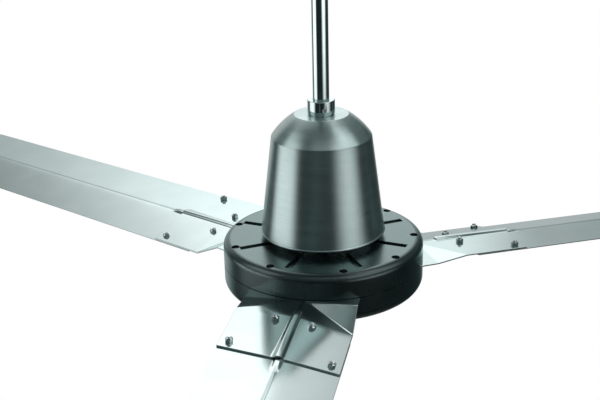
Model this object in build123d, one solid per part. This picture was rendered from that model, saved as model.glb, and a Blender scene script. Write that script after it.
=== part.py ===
from build123d import *
import os
from math import cos, pi, radians, sin, sqrt

os.makedirs("parts", exist_ok=True)

# Three-blade ceiling fan, in millimetres, Z up. The origin is the middle of the ceiling bracket's top face,
# where the fan is screwed to the ceiling, and everything hangs below it.

# Whole fan
sweep_radius = 800
drop_to_housing = 560
blade_count = 3
first_blade_angle = -90

# Room between pieces, and how far every cutting tool runs past the face that it opens
slide_gap = 0.05
free_gap = 0.3
cut_over = 1

# Shapes common to all bolts, nuts and screws, as shares of their own sizes
nut_corner_share = 0.9
bolt_tip_share = 0.1
head_round_share = 0.6
cross_slot_share = 0.25

# Motor housing: two cast halves that meet at a seam
housing_radius = 120
housing_height = 61
seam_depth = 30
upper_edge_radius = 10
lower_edge_radius = 12
upper_wall = 6
lower_wall = 5
skirt_wall = 6
rotor_seat_wall = 8
bearing_seat_wall = 5

# Screws around the housing, sunk in deep holes
housing_screw_inset = 11
housing_screw_side_angle = 22.5
housing_screw_d = 5
housing_screw_head_d = 8.2
housing_screw_head_height = 4
housing_screw_sink = 5
housing_screw_hole_d = 9
housing_screw_length = 40
housing_screw_key = 4
housing_screw_key_depth = 2.5
housing_boss_d = 16

# Radial grooves in the housing's top face
groove_count = 8
groove_first_angle = 33.4
groove_width = 8
groove_depth = 3
groove_outer_inset = 15
groove_length = 42

# Blade bracket: a thick bent plate, flat at its root and pitched further out
bracket_thickness = 2
bracket_root_inset = 28
bracket_flat_reach = 1.5
bracket_bend_reach = 41
bracket_end_reach = 127.5
bracket_end_sweep = 7.5
trailing_width = 61.5
leading_width = 67
trailing_fall_angle = 16.6
leading_rise_angle = 4.4
droop_angle = 1.6
notch_room = 0.4

# Stiffening bead pressed along the middle of bracket and blade
bead_start_reach = 25
bead_height = 2.6
bead_foot_width = 11
bead_top_width = 4.5
bead_past_bracket = 16.5

# Blade sheet
blade_thickness = 1.2
blade_root_reach = 44.5
blade_root_half_width = 33
blade_root_chamfer = 11
blade_tip_corner_radius = 18

# Blade screws and nuts
inner_screw_reach = 52
inner_screw_share = 0.31
outer_screw_reach = 109
outer_screw_edge_inset = 10.7
blade_screw_d = 5
blade_screw_head_d = 9.5
blade_screw_head_height = 2.8
blade_screw_end = 2
blade_screw_hole_d = 5.6
blade_nut_flats = 8
blade_nut_height = 4

# Downrod
rod_d = 19
rod_wall = 1.5
rod_wire_hole_d = 9
rod_wire_hole_height = 86

# Bell cover over the shaft joint: a spun sheet shell
sheet_wall = 1
bell_gap = 7.4
bell_height = 143.4
bell_rim_radius = 74.4
bell_shoulder_radius = 58.9
bell_shoulder_drop = 26
bell_crown_radius = 31.9
bell_dome_bulge = 1.4
rim_bead_radius = 1.2

# Collars that hold bell and canopy on the rod
collar_radius = 16
collar_height = 17
collar_step = 1
collar_step_height = 1.2
spigot_radius = 12
spigot_length = 8
locknut_flats = 32
locknut_height = 5
set_screw_d = 5
set_screw_key = 2.5
set_screw_key_depth = 2
set_screw_sink = 0.8
set_screw_drop = 10.2
set_screw_angle = -65

# Ceiling canopy: the same kind of shell, open upwards
canopy_gap = 8
canopy_height = 80
canopy_rim_radius = 66
canopy_shoulder_radius = 54
canopy_shoulder_rise = 22
canopy_crown_radius = 27
canopy_dome_bulge = 1

# Ceiling bracket and the bolt that the rod hangs on
plate_length = 100
plate_width = 40
plate_thickness = 4
plate_hole_spacing = 76
plate_hole_d = 9
plate_corner_radius = 6
ear_gap = 30
ear_thickness = 4
ear_width = 32
hanger_axis_drop = 34
hanger_bolt_d = 8
hanger_bolt_flats = 13
hanger_head_height = 5.3
hanger_nut_height = 6.5
hanger_bolt_end = 8
bush_d = 22
bush_side_gap = 1
eye_d = 34
eye_width = 20
eye_neck_length = 12
eye_plug_length = 30
eye_pin_d = 5
split_pin_d = 1.8
split_pin_leg = 5
split_pin_eye_radius = 2.2
split_pin_end_room = 4
split_pin_spread_angle = 50

# Shaft coupling inside the bell
coupling_base_height = 12
coupling_flange_radius = 28
coupling_flange_thickness = 4
coupling_radius = 16
coupling_height = 60
coupling_rod_depth = 30
coupling_bolt_d = 6
coupling_bolt_flats = 10
coupling_head_height = 4
coupling_nut_height = 5
coupling_bolt_end = 7
coupling_bolt_drop = 15
grub_screw_d = 6
grub_screw_key = 3
grub_screw_height = 16

# Motor shaft, fixed, hollow at its upper end for the wires
shaft_top_d = 16
shaft_upper_d = 17
shaft_core_d = 24
shaft_lower_d = 15
shaft_wire_bore_d = 7
shaft_wire_exit_d = 3.4
shaft_top_gap = 2
shaft_end_length = 3
circlip_wall = 2
circlip_thickness = 1

# Bearings: upper 17 x 40 x 12, lower 15 x 35 x 11
upper_bearing_d = 40
upper_bearing_width = 12
lower_bearing_d = 35
lower_bearing_width = 11
bearing_ring_share = 0.3
ball_share = 0.52
ball_count = 8
bearing_lip = 3
bearing_lip_height = 2

# Stator and rotor ring
core_height = 18
core_drop = 22
rotor_ring_width = 21
air_gap = 0.5
slot_count = 16
slot_mouth_width = 3
slot_foot_share = 0.592
slot_rim_thickness = 4
tooth_share = 0.48
coil_share = 0.18
coil_overhang = 7
coil_inner_inset = 1.5
coil_corner_radius = 1.5
end_ring_height = 4
end_ring_inset = 4

# Cap under the lower bearing
cap_radius = 24
cap_thickness = 1.5
cap_spigot_height = 2.5
cap_edge_radius = 1

# Carrier plate in the bell, with capacitor, terminal block and earth screw
carrier_radius = 56
carrier_thickness = 1.5
carrier_screw_circle = 22
carrier_screw_count = 3
carrier_screw_first_angle = 0
small_screw_d = 4
small_head_d = 7.5
small_head_height = 2.6
capacitor_radius = 15
capacitor_height = 52
capacitor_distance = 39
capacitor_stud_d = 8
capacitor_nut_flats = 13
capacitor_nut_height = 5
capacitor_edge_radius = 2
terminal_length = 44
terminal_width = 18
terminal_height = 17
terminal_distance = 42
terminal_poles = 3
terminal_pitch = 11
terminal_screw_d = 3.5
terminal_screw_key = 1.7
terminal_screw_height = 3
terminal_edge = 1
terminal_well_d = 5
terminal_well_depth = 6
terminal_fixing_spacing = 38
terminal_fixing_d = 3
terminal_fixing_head_d = 5
terminal_fixing_head_height = 2
earth_screw_angle = 60
earth_screw_circle = 44

# Heights of the main faces
housing_top = -drop_to_housing
housing_bottom = housing_top - housing_height
seam = housing_top - seam_depth
upper_inside = housing_top - upper_wall
lower_inside = housing_bottom + lower_wall
core_top = housing_top - core_drop
core_bottom = core_top - core_height
bell_rim = housing_top + bell_gap
bell_top = bell_rim + bell_height
coupling_base = housing_top + coupling_base_height
coupling_top = coupling_base + coupling_height
rod_bottom = coupling_top - coupling_rod_depth
hanger_axis = -hanger_axis_drop
rod_top = hanger_axis - eye_d / 2 - eye_neck_length / 2
canopy_rim = -canopy_gap
canopy_bottom = canopy_rim - canopy_height
carrier_base = coupling_base + coupling_flange_thickness
carrier_top = carrier_base + carrier_thickness

# Radii and reaches worked out from the sizes above
rod_radius = rod_d / 2
screw_circle = housing_radius - housing_screw_inset
bracket_root = housing_radius - bracket_root_inset
rotor_radius = bracket_root - rotor_seat_wall
rotor_inner = rotor_radius - rotor_ring_width
stator_radius = rotor_inner - air_gap
slot_foot_radius = stator_radius * slot_foot_share
slot_pitch = 2 * pi * slot_foot_radius / slot_count
tooth_width = slot_pitch * tooth_share
coil_thickness = slot_pitch * coil_share
flat_end = housing_radius + bracket_flat_reach
bend_end = housing_radius + bracket_bend_reach
bracket_end = housing_radius + bracket_end_reach
bead_start = housing_radius + bead_start_reach
blade_root = housing_radius + blade_root_reach
trailing_slope = sin(radians(trailing_fall_angle)) / cos(radians(trailing_fall_angle))
leading_slope = sin(radians(leading_rise_angle)) / cos(radians(leading_rise_angle))
droop_slope = sin(radians(droop_angle)) / cos(radians(droop_angle))
upward = (Align.CENTER, Align.CENTER, Align.MIN)


def disc(radius, low, high):
    return Pos(0, 0, low) * Cylinder(radius, high - low, align=upward)


def tube(outer, inner, low, high):
    return disc(outer, low, high) - disc(inner, low - cut_over, high + cut_over)


def block(x_low, x_high, y_low, y_high, z_low, z_high):
    middle = Pos((x_low + x_high) / 2, (y_low + y_high) / 2, (z_low + z_high) / 2)
    return middle * Box(x_high - x_low, y_high - y_low, z_high - z_low)


def along_x(shape):
    return Rot(0, 90, 0) * shape


def along_y(shape):
    return Rot(-90, 0, 0) * shape


def ring_of(shape, count, first_angle):
    return [Rot(0, 0, first_angle + 360 * k / count) * shape for k in range(count)]


def group(shapes):
    return Compound(children=[Compound(shape.solids()) for shape in shapes])


def hexagon(flats, low, high):
    profile = RegularPolygon(flats / 2, 6, major_radius=False)
    bar = Pos(0, 0, low) * extrude(profile, high - low)
    corner = flats / sqrt(3)
    rounded = disc(corner, low, high)
    rounded = chamfer(rounded.edges().filter_by(GeomType.CIRCLE), (corner - flats / 2) * nut_corner_share)
    return bar & rounded


def hex_bolt(diameter, flats, head, length):
    shank = disc(diameter / 2, 0, length)
    shank = chamfer(shank.faces().sort_by(Axis.Z)[-1].edges(), diameter * bolt_tip_share)
    return hexagon(flats, -head, 0) + shank


def hex_nut(flats, height, bore):
    return hexagon(flats, 0, height) - disc(bore / 2, -cut_over, height + cut_over)


def round_screw(diameter, head_d, head, length):
    # A pan head above z = 0, with its shank reaching down to -length
    dome = disc(head_d / 2, 0, head)
    dome = fillet(dome.faces().sort_by(Axis.Z)[-1].edges(), head * head_round_share)
    slot = diameter * cross_slot_share
    cross = Box(diameter, slot, head) + Box(slot, diameter, head)
    return dome - Pos(0, 0, head) * cross + disc(diameter / 2, -length, 0)


def grub_screw(diameter, key, key_depth, low, high):
    socket = extrude(RegularPolygon(key / 2, 6, major_radius=False), key_depth + cut_over)
    return disc(diameter / 2, low, high) - Pos(0, 0, high - key_depth) * socket


def split_pin(hole_length):
    # Straight wire through a bolt end, with an eye above and two bent legs below
    wire = split_pin_d / 2
    above = hole_length / 2 + split_pin_end_room / 2
    pin = disc(wire, -above, above)
    eye = Pos(0, 0, above + split_pin_eye_radius) * Rot(90, 0, 0) * Torus(split_pin_eye_radius, wire)
    for spread in (-split_pin_spread_angle, split_pin_spread_angle):
        pin += Pos(0, 0, -above) * Rot(spread, 0, 0) * disc(wire, -split_pin_leg, wire)
    return pin + eye


def spun_shell(rim, shoulder, shoulder_depth, crown, height, bulge, hole):
    # A shell of revolution standing on its rim at z = 0: cone, crease, slightly bulged dome, flat crown
    def core(inset, low):
        top = height - inset
        crease = (shoulder - inset, height - shoulder_depth - inset)
        edge = (crown, top)
        middle = ((crease[0] + edge[0]) / 2 + bulge, (crease[1] + edge[1]) / 2 + bulge)
        lines = Polyline((0, low), (rim - inset, low), crease)
        lines += ThreePointArc(crease, middle, edge)
        lines += Polyline(edge, (0, top), (0, low))
        return revolve(Plane.XZ * make_face(lines), Axis.Z)

    shell = core(0, 0) - core(sheet_wall, -cut_over) - disc(hole, 0, height + cut_over)
    bead = Pos(0, 0, rim_bead_radius) * Torus(rim - rim_bead_radius, rim_bead_radius)
    return shell + bead


def collar():
    # Collar standing on z = 0, with a spigot that goes down through the shell
    body = disc(collar_radius, collar_step_height, collar_height)
    body = chamfer(body.faces().sort_by(Axis.Z)[-1].edges(), collar_step / 2)
    body += disc(collar_radius - collar_step, 0, collar_step_height)
    body += disc(spigot_radius, -spigot_length, 0)
    body -= disc(rod_radius + slide_gap, -spigot_length - cut_over, collar_height + cut_over)
    screw_height = collar_height - set_screw_drop
    hole = along_x(disc(set_screw_d / 2, 0, collar_radius + cut_over))
    return body - Rot(0, 0, set_screw_angle) * Pos(0, 0, screw_height) * hole


def collar_locknut():
    return hex_nut(locknut_flats, locknut_height, 2 * spigot_radius)


def collar_set_screw():
    screw = grub_screw(set_screw_d, set_screw_key, set_screw_key_depth, rod_radius + slide_gap,
                       collar_radius - set_screw_sink)
    return Rot(0, 0, set_screw_angle) * Pos(0, 0, collar_height - set_screw_drop) * along_x(screw)


def ceiling_bracket():
    plate = block(-plate_length / 2, plate_length / 2, -plate_width / 2, plate_width / 2,
                  -plate_thickness, 0)
    plate = fillet(plate.edges().filter_by(Axis.Z), plate_corner_radius)
    for side in (-1, 1):
        inner = side * ear_gap / 2
        outer = side * (ear_gap / 2 + ear_thickness)
        low, high = min(inner, outer), max(inner, outer)
        plate += block(low, high, -ear_width / 2, ear_width / 2, hanger_axis, -plate_thickness)
        plate += Pos(0, 0, hanger_axis) * along_x(disc(ear_width / 2, low, high))
        hole_x = side * plate_hole_spacing / 2
        plate -= Pos(hole_x, 0, 0) * disc(plate_hole_d / 2, -plate_thickness - cut_over, cut_over)
    reach = ear_gap / 2 + ear_thickness + cut_over
    return plate - Pos(0, 0, hanger_axis) * along_x(disc(hanger_bolt_d / 2 + slide_gap, -reach, reach))


def hanger_bolt():
    face = ear_gap / 2 + ear_thickness
    length = 2 * face + hanger_nut_height + hanger_bolt_end
    bolt = hex_bolt(hanger_bolt_d, hanger_bolt_flats, hanger_head_height, length)
    pin_place = length - hanger_bolt_end / 2
    hole = Pos(0, 0, pin_place) * along_y(disc(split_pin_d / 2, -hanger_bolt_d, hanger_bolt_d))
    return Pos(-face, 0, hanger_axis) * along_x(bolt - hole)


def hanger_nut():
    nut = hex_nut(hanger_bolt_flats, hanger_nut_height, hanger_bolt_d)
    return Pos(ear_gap / 2 + ear_thickness, 0, hanger_axis) * along_x(nut)


def hanger_split_pin():
    x = ear_gap / 2 + ear_thickness + hanger_nut_height + hanger_bolt_end / 2
    return Pos(x, 0, hanger_axis) * along_y(split_pin(hanger_bolt_d))


def hanger_bush():
    reach = ear_gap / 2 - bush_side_gap
    return Pos(0, 0, hanger_axis) * along_x(tube(bush_d / 2, hanger_bolt_d / 2 + slide_gap, -reach, reach))


def rod_eye():
    eye = Pos(0, 0, hanger_axis) * along_x(disc(eye_d / 2, -eye_width / 2, eye_width / 2))
    eye += disc(rod_radius, rod_top, hanger_axis)
    eye += disc(rod_radius - rod_wall, rod_top - eye_plug_length, rod_top)
    eye -= Pos(0, 0, hanger_axis) * along_x(disc(bush_d / 2, -eye_width, eye_width))
    wire_way = disc(shaft_wire_bore_d / 2, rod_top - eye_plug_length - cut_over, rod_top - cut_over)
    eye -= wire_way
    return eye - eye_pin_hole()


def eye_pin_hole():
    return Pos(0, 0, rod_top - eye_plug_length / 2) * along_x(disc(eye_pin_d / 2, -rod_d, rod_d))


def rod_eye_pin():
    pin = along_x(disc(eye_pin_d / 2, -rod_radius, rod_radius))
    return Pos(0, 0, rod_top - eye_plug_length / 2) * pin


def downrod():
    rod = tube(rod_radius, rod_radius - rod_wall, rod_bottom, rod_top) - eye_pin_hole()
    rod -= Pos(0, 0, coupling_top - coupling_bolt_drop) * along_y(disc(coupling_bolt_d / 2, -rod_d, rod_d))
    wire_hole = along_x(disc(rod_wire_hole_d / 2, 0, rod_d))
    return rod - Pos(0, 0, housing_top + rod_wire_hole_height) * wire_hole


def shaft_coupling():
    body = disc(coupling_radius, coupling_base, coupling_top)
    body = chamfer(body.faces().sort_by(Axis.Z)[-1].edges(), collar_step)
    body += disc(coupling_flange_radius, coupling_base, coupling_base + coupling_flange_thickness)
    body -= disc(shaft_top_d / 2, coupling_base - cut_over, rod_bottom + cut_over)
    body -= disc(rod_radius, rod_bottom, coupling_top + cut_over)
    bolt_hole = along_y(disc(coupling_bolt_d / 2, -coupling_radius - cut_over, coupling_radius + cut_over))
    body -= Pos(0, 0, coupling_top - coupling_bolt_drop) * bolt_hole
    grub_hole = along_y(disc(grub_screw_d / 2, 0, coupling_radius + cut_over))
    body -= Pos(0, 0, coupling_base + grub_screw_height) * grub_hole
    screw_hole = disc(small_screw_d / 2, coupling_base - cut_over, carrier_base + cut_over)
    screw_hole = Pos(carrier_screw_circle, 0, 0) * screw_hole
    for tool in ring_of(screw_hole, carrier_screw_count, carrier_screw_first_angle):
        body -= tool
    return body


def coupling_bolt():
    length = 2 * coupling_radius + coupling_nut_height + coupling_bolt_end
    bolt = hex_bolt(coupling_bolt_d, coupling_bolt_flats, coupling_head_height, length)
    hole = along_x(disc(split_pin_d / 2, -coupling_bolt_d, coupling_bolt_d))
    bolt -= Pos(0, 0, length - coupling_bolt_end / 2) * hole
    return Pos(0, -coupling_radius, coupling_top - coupling_bolt_drop) * along_y(bolt)


def coupling_nut():
    nut = hex_nut(coupling_bolt_flats, coupling_nut_height, coupling_bolt_d)
    return Pos(0, coupling_radius, coupling_top - coupling_bolt_drop) * along_y(nut)


def coupling_split_pin():
    y = coupling_radius + coupling_nut_height + coupling_bolt_end / 2
    return Pos(0, y, coupling_top - coupling_bolt_drop) * along_x(split_pin(coupling_bolt_d))


def coupling_grub_screw():
    screw = grub_screw(grub_screw_d, grub_screw_key, set_screw_key_depth, shaft_top_d / 2, coupling_radius)
    return Pos(0, 0, coupling_base + grub_screw_height) * along_y(screw)


def shaft_bottom():
    return housing_bottom + cap_thickness + cap_spigot_height + free_gap


def upper_bearing_low():
    return upper_inside - upper_bearing_width


def lower_bearing_low():
    return shaft_bottom() + shaft_end_length


def motor_shaft():
    shaft = disc(shaft_top_d / 2, coupling_base, rod_bottom - shaft_top_gap)
    shaft += disc(shaft_upper_d / 2, upper_bearing_low(), coupling_base)
    shaft += disc(shaft_core_d / 2, lower_bearing_low() + lower_bearing_width, upper_bearing_low())
    shaft += disc(shaft_lower_d / 2, shaft_bottom(), lower_bearing_low() + lower_bearing_width)
    exit_height = (upper_bearing_low() + core_top) / 2
    shaft -= disc(shaft_wire_bore_d / 2, exit_height, rod_bottom)
    shaft -= Pos(0, 0, exit_height) * along_x(disc(shaft_wire_exit_d / 2, 0, shaft_core_d))
    return shaft - tube(shaft_lower_d, circlip_inner(), *circlip_heights())


def circlip_inner():
    return shaft_lower_d / 2 - circlip_wall / 2


def circlip_heights():
    high = lower_bearing_low()
    return high - circlip_thickness, high


def shaft_circlip():
    clip = tube(circlip_inner() + circlip_wall, circlip_inner(), *circlip_heights())
    mouth = block(0, shaft_lower_d, -circlip_wall, circlip_wall,
                  shaft_bottom(), lower_bearing_low() + cut_over)
    return clip - mouth


def stator_core():
    core = tube(stator_radius, shaft_core_d / 2, core_bottom, core_top)
    foot = sector_slot(slot_foot_radius, stator_radius - slot_rim_thickness)
    mouth = block(slot_foot_radius, stator_radius + cut_over, -slot_mouth_width / 2, slot_mouth_width / 2,
                  core_bottom - cut_over, core_top + cut_over)
    for tool in ring_of(foot + mouth, slot_count, 180 / slot_count):
        core -= tool
    return core


def sector_slot(inner, outer):
    # The wedge between two teeth with parallel sides
    half_step = radians(180 / slot_count)

    def corner(radius):
        along = sqrt(radius ** 2 - (tooth_width / 2) ** 2)
        x = along * cos(half_step) + tooth_width / 2 * sin(half_step)
        y = along * sin(half_step) - tooth_width / 2 * cos(half_step)
        return x, y

    x_in, y_in = corner(inner)
    x_out, y_out = corner(outer)
    wedge = make_face(Polyline((x_in, -y_in), (x_out, -y_out), (x_out, y_out), (x_in, y_in), close=True))
    return Pos(0, 0, core_bottom - cut_over) * extrude(wedge, core_height + 2 * cut_over)


def stator_coils():
    inner = slot_foot_radius + coil_inner_inset
    outer = stator_radius - slot_rim_thickness - coil_inner_inset
    side = tooth_width / 2 + free_gap
    coil = block(inner, outer, -side - coil_thickness, side + coil_thickness,
                 core_bottom - coil_overhang, core_top + coil_overhang)
    coil = fillet(coil.edges().filter_by(Axis.X), coil_corner_radius)
    coil -= block(inner - cut_over, outer + cut_over, -side, side,
                  core_bottom - free_gap, core_top + free_gap)
    return group(ring_of(coil, slot_count, 0))


def rotor_ring():
    ring = tube(rotor_radius, rotor_inner, core_bottom, core_top)
    outer = rotor_radius - end_ring_inset
    inner = rotor_inner + end_ring_inset
    return ring + tube(outer, inner, core_bottom - end_ring_height, core_top + end_ring_height)


def bearing_radii(bore_d, outer_d):
    room = (outer_d - bore_d) / 2
    inner_wall = bore_d / 2 + room * bearing_ring_share
    outer_wall = outer_d / 2 - room * bearing_ring_share
    pitch = (bore_d + outer_d) / 4
    return inner_wall, outer_wall, pitch, room * ball_share / 2


def raceway(pitch, ball, low, width):
    return Pos(0, 0, low + width / 2) * Torus(pitch, ball + slide_gap)


def bearing_inner_ring(bore_d, outer_d, low, width):
    inner_wall, outer_wall, pitch, ball = bearing_radii(bore_d, outer_d)
    return tube(inner_wall, bore_d / 2, low, low + width) - raceway(pitch, ball, low, width)


def bearing_outer_ring(bore_d, outer_d, low, width):
    inner_wall, outer_wall, pitch, ball = bearing_radii(bore_d, outer_d)
    return tube(outer_d / 2, outer_wall, low, low + width) - raceway(pitch, ball, low, width)


def bearing_balls(bore_d, outer_d, low, width):
    # The balls sit in a flat cage ring at half their height
    inner_wall, outer_wall, pitch, ball = bearing_radii(bore_d, outer_d)
    middle = low + width / 2
    cage = tube(outer_wall - free_gap, inner_wall + free_gap, middle - free_gap, middle + free_gap)
    balls = ring_of(Pos(pitch, 0, middle) * Sphere(ball), ball_count, 0)
    for one in balls:
        cage += one
    return cage


def housing_screw_places():
    places = []
    for k in range(blade_count):
        blade = first_blade_angle + 360 * k / blade_count
        places += [blade - housing_screw_side_angle, blade + housing_screw_side_angle]
        places.append(blade + 180 / blade_count)
    return places


def at_housing_screws(shape):
    return [Rot(0, 0, angle) * Pos(screw_circle, 0, 0) * shape for angle in housing_screw_places()]


def bosses(low, high):
    return at_housing_screws(disc(housing_boss_d / 2, low, high))


def weight_pocket(low, high):
    # The hollow ring between rotor seat and skirt, left solid around every screw
    pocket = tube(housing_radius - skirt_wall, bracket_root, low, high)
    for boss in bosses(low - cut_over, high + cut_over):
        pocket -= boss
    return pocket


def upper_housing():
    body = disc(housing_radius, seam, housing_top)
    body = fillet(body.faces().sort_by(Axis.Z)[-1].edges(), upper_edge_radius)
    body -= disc(rotor_radius, seam - cut_over, core_top)
    body -= disc(rotor_radius - end_ring_inset + free_gap, seam - cut_over, upper_inside)
    seat = upper_bearing_d / 2
    body += tube(seat + bearing_seat_wall, seat, upper_bearing_low(), upper_inside)
    # The hole clears the bearing's inner ring, which stands still
    still_ring = bearing_radii(shaft_upper_d, upper_bearing_d)[0]
    body -= disc(still_ring + free_gap, upper_inside - cut_over, housing_top + cut_over)
    body -= weight_pocket(seam - cut_over, housing_top - upper_edge_radius)
    outer = housing_radius - groove_outer_inset
    groove = block(outer - groove_length, outer, -groove_width / 2, groove_width / 2,
                   housing_top - groove_depth, housing_top + cut_over)
    for tool in ring_of(groove, groove_count, groove_first_angle):
        body -= tool
    sink = housing_top - housing_screw_sink - housing_screw_head_height
    hole = disc(housing_screw_hole_d / 2, sink, housing_top + cut_over)
    hole += disc(housing_screw_d / 2 + free_gap, seam - cut_over, sink)
    for tool in at_housing_screws(hole):
        body -= tool
    return body


def lower_housing():
    body = disc(housing_radius, housing_bottom, seam)
    body = fillet(body.faces().sort_by(Axis.Z)[0].edges(), lower_edge_radius)
    body -= disc(rotor_radius, core_bottom, seam + cut_over)
    body -= disc(rotor_radius - end_ring_inset + free_gap, lower_inside, seam + cut_over)
    seat = lower_bearing_d / 2
    lip = lower_bearing_low() + lower_bearing_width
    body += disc(seat + bearing_seat_wall, housing_bottom, lip + bearing_lip_height)
    body -= disc(seat, housing_bottom - cut_over, lip)
    body -= disc(seat - bearing_lip, lip - cut_over, lip + bearing_lip_height + cut_over)
    body -= disc(cap_radius, housing_bottom - cut_over, housing_bottom + cap_thickness)
    body -= weight_pocket(housing_bottom + lower_edge_radius, seam + cut_over)
    notch = block(bracket_root - notch_room, housing_radius + cut_over, -leading_width - notch_room,
                  trailing_width + notch_room, seam - bracket_thickness, seam + cut_over)
    for tool in ring_of(notch, blade_count, first_blade_angle):
        body -= tool
    for tool in at_housing_screws(disc(housing_screw_d / 2, housing_screw_tip(), seam + cut_over)):
        body -= tool
    return body


def housing_screw_tip():
    return housing_top - housing_screw_sink - housing_screw_head_height - housing_screw_length


def housing_screws():
    high = housing_top - housing_screw_sink
    low = high - housing_screw_head_height
    screw = grub_screw(housing_screw_head_d, housing_screw_key, housing_screw_key_depth, low, high)
    screw += disc(housing_screw_d / 2, housing_screw_tip(), low)
    return group(at_housing_screws(screw))


def bottom_cap():
    cap = disc(cap_radius, housing_bottom, housing_bottom + cap_thickness)
    cap = fillet(cap.faces().sort_by(Axis.Z)[0].edges(), cap_edge_radius)
    seat = lower_bearing_d / 2
    low = housing_bottom + cap_thickness
    return cap + tube(seat, seat - bearing_lip / 2, low, low + cap_spigot_height)


def sheet_height(reach, across):
    # Height of the bracket's top face over the seam, at a distance along and across the blade
    slope = trailing_slope if across > 0 else leading_slope
    return seam - slope * across - droop_slope * (reach - bend_end)


def across_plane(reach):
    return Plane(origin=(reach, 0, seam), x_dir=(0, 1, 0), z_dir=(1, 0, 0))


def run_out(profile, start, end):
    # Carries a cross-section from one reach to another, falling with the droop
    face = across_plane(start) * profile
    if end <= bend_end:
        return extrude(face, end - start, dir=(1, 0, 0))
    face = Pos(0, 0, -droop_slope * (start - bend_end)) * face
    return extrude(face, (end - start) / cos(radians(droop_angle)), dir=(1, 0, -droop_slope))


def bent_profile(drop, thickness):
    line = [(-leading_width, leading_slope * leading_width), (0, 0)]
    line.append((trailing_width, -trailing_slope * trailing_width))
    upper = [(y, z - drop) for y, z in line]
    lower = [(y, z - drop - thickness) for y, z in reversed(line)]
    return make_face(Polyline(*upper, *lower, close=True))


def bead_profile(drop, thickness):
    # The raised middle, from inside the sheet up to the bead's top
    foot = bead_foot_width / 2
    crest = bead_top_width / 2
    points = [(-foot, leading_slope * foot), (-crest, bead_height), (crest, bead_height),
              (foot, -trailing_slope * foot), (foot, -trailing_slope * foot - thickness), (0, -thickness),
              (-foot, leading_slope * foot - thickness)]
    return make_face(Polyline(*[(y, z - drop) for y, z in points], close=True))


def screw_frames():
    # Where the four screws of a blade stand, each square to the bent sheet
    places = [(housing_radius + inner_screw_reach, -leading_width * inner_screw_share),
              (housing_radius + inner_screw_reach, trailing_width * inner_screw_share),
              (housing_radius + outer_screw_reach, outer_screw_edge_inset - leading_width),
              (housing_radius + outer_screw_reach, trailing_width - outer_screw_edge_inset)]
    frames = []
    for reach, across in places:
        slope = trailing_slope if across > 0 else leading_slope
        stand = Vector(droop_slope, slope, 1)
        square = 1 / stand.length
        frames.append((Plane(origin=(reach, across, sheet_height(reach, across)), z_dir=stand), square))
    return frames


def screw_holes():
    depth = bracket_thickness + blade_thickness + cut_over
    return [frame * disc(blade_screw_hole_d / 2, -depth, cut_over) for frame, square in screw_frames()]


def standing_prism(face):
    # What lies over and under a flat outline, taller than any bent sheet
    tall = housing_height + sweep_radius * droop_slope
    return Pos(0, 0, seam - tall) * extrude(face, 2 * tall)


def blade_bracket():
    low = seam - bracket_thickness
    plate = block(bracket_root, flat_end, -leading_width, trailing_width, low, seam)
    middle = (flat_end, 0, seam)
    bend = (bend_end, 0, seam)
    for width, slope in ((trailing_width, trailing_slope), (-leading_width, leading_slope)):
        side = (flat_end, width, seam)
        corner = (bend_end, width, seam - slope * width)
        for points in ((middle, side, corner), (middle, bend, corner)):
            facet = Face(Wire.make_polygon([Vector(*p) for p in points], close=True))
            plate += extrude(facet, bracket_thickness, dir=(0, 0, -1))
    plate += run_out(bent_profile(0, bracket_thickness), bend_end, bracket_end)
    for start, end in ((bead_start, bend_end), (bend_end, bracket_end)):
        plate += run_out(bead_profile(0, bracket_thickness), start, end)
    under = bead_profile(bracket_thickness, cut_over)
    plate -= run_out(under, bead_start + bracket_thickness, bend_end)
    plate -= run_out(under, bend_end, bracket_end + cut_over)
    corner_reach = bracket_end - bracket_end_sweep
    outline = [(bracket_root, -leading_width), (corner_reach, -leading_width), (bracket_end, 0),
               (corner_reach, trailing_width), (bracket_root, trailing_width)]
    plate &= standing_prism(make_face(Polyline(*outline, close=True)))
    for tool in screw_holes():
        plate -= tool
    for angle in (-housing_screw_side_angle, housing_screw_side_angle):
        hole = disc(housing_screw_d / 2 + free_gap, low - cut_over, seam + cut_over)
        plate -= Rot(0, 0, angle) * Pos(screw_circle, 0, 0) * hole
    return plate


def blade():
    sheet = run_out(bent_profile(bracket_thickness, blade_thickness), blade_root, sweep_radius)
    bead_end = bracket_end + bead_past_bracket
    sheet += run_out(bead_profile(bracket_thickness, blade_thickness), blade_root, bead_end)
    under = bead_profile(bracket_thickness + blade_thickness, cut_over)
    sheet -= run_out(under, blade_root - cut_over, bead_end - blade_thickness)
    outline = [(blade_root, -blade_root_half_width), (blade_root + blade_root_chamfer, -leading_width),
               (sweep_radius, -leading_width), (sweep_radius, trailing_width),
               (blade_root + blade_root_chamfer, trailing_width), (blade_root, blade_root_half_width)]
    face = make_face(Polyline(*outline, close=True))
    face = fillet(face.vertices().sort_by(Axis.X)[-2:], blade_tip_corner_radius)
    sheet &= standing_prism(face)
    for tool in screw_holes():
        sheet -= tool
    return sheet


def blade_screws():
    screws = []
    for frame, square in screw_frames():
        under = (bracket_thickness + blade_thickness) * square
        length = under + blade_nut_height + blade_screw_end
        screw = round_screw(blade_screw_d, blade_screw_head_d, blade_screw_head_height, length)
        screws.append(frame * Pos(0, 0, -under) * Rot(180, 0, 0) * screw)
    return screws


def blade_nuts():
    nut = hex_nut(blade_nut_flats, blade_nut_height, blade_screw_d)
    return [frame * nut for frame, square in screw_frames()]


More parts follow.
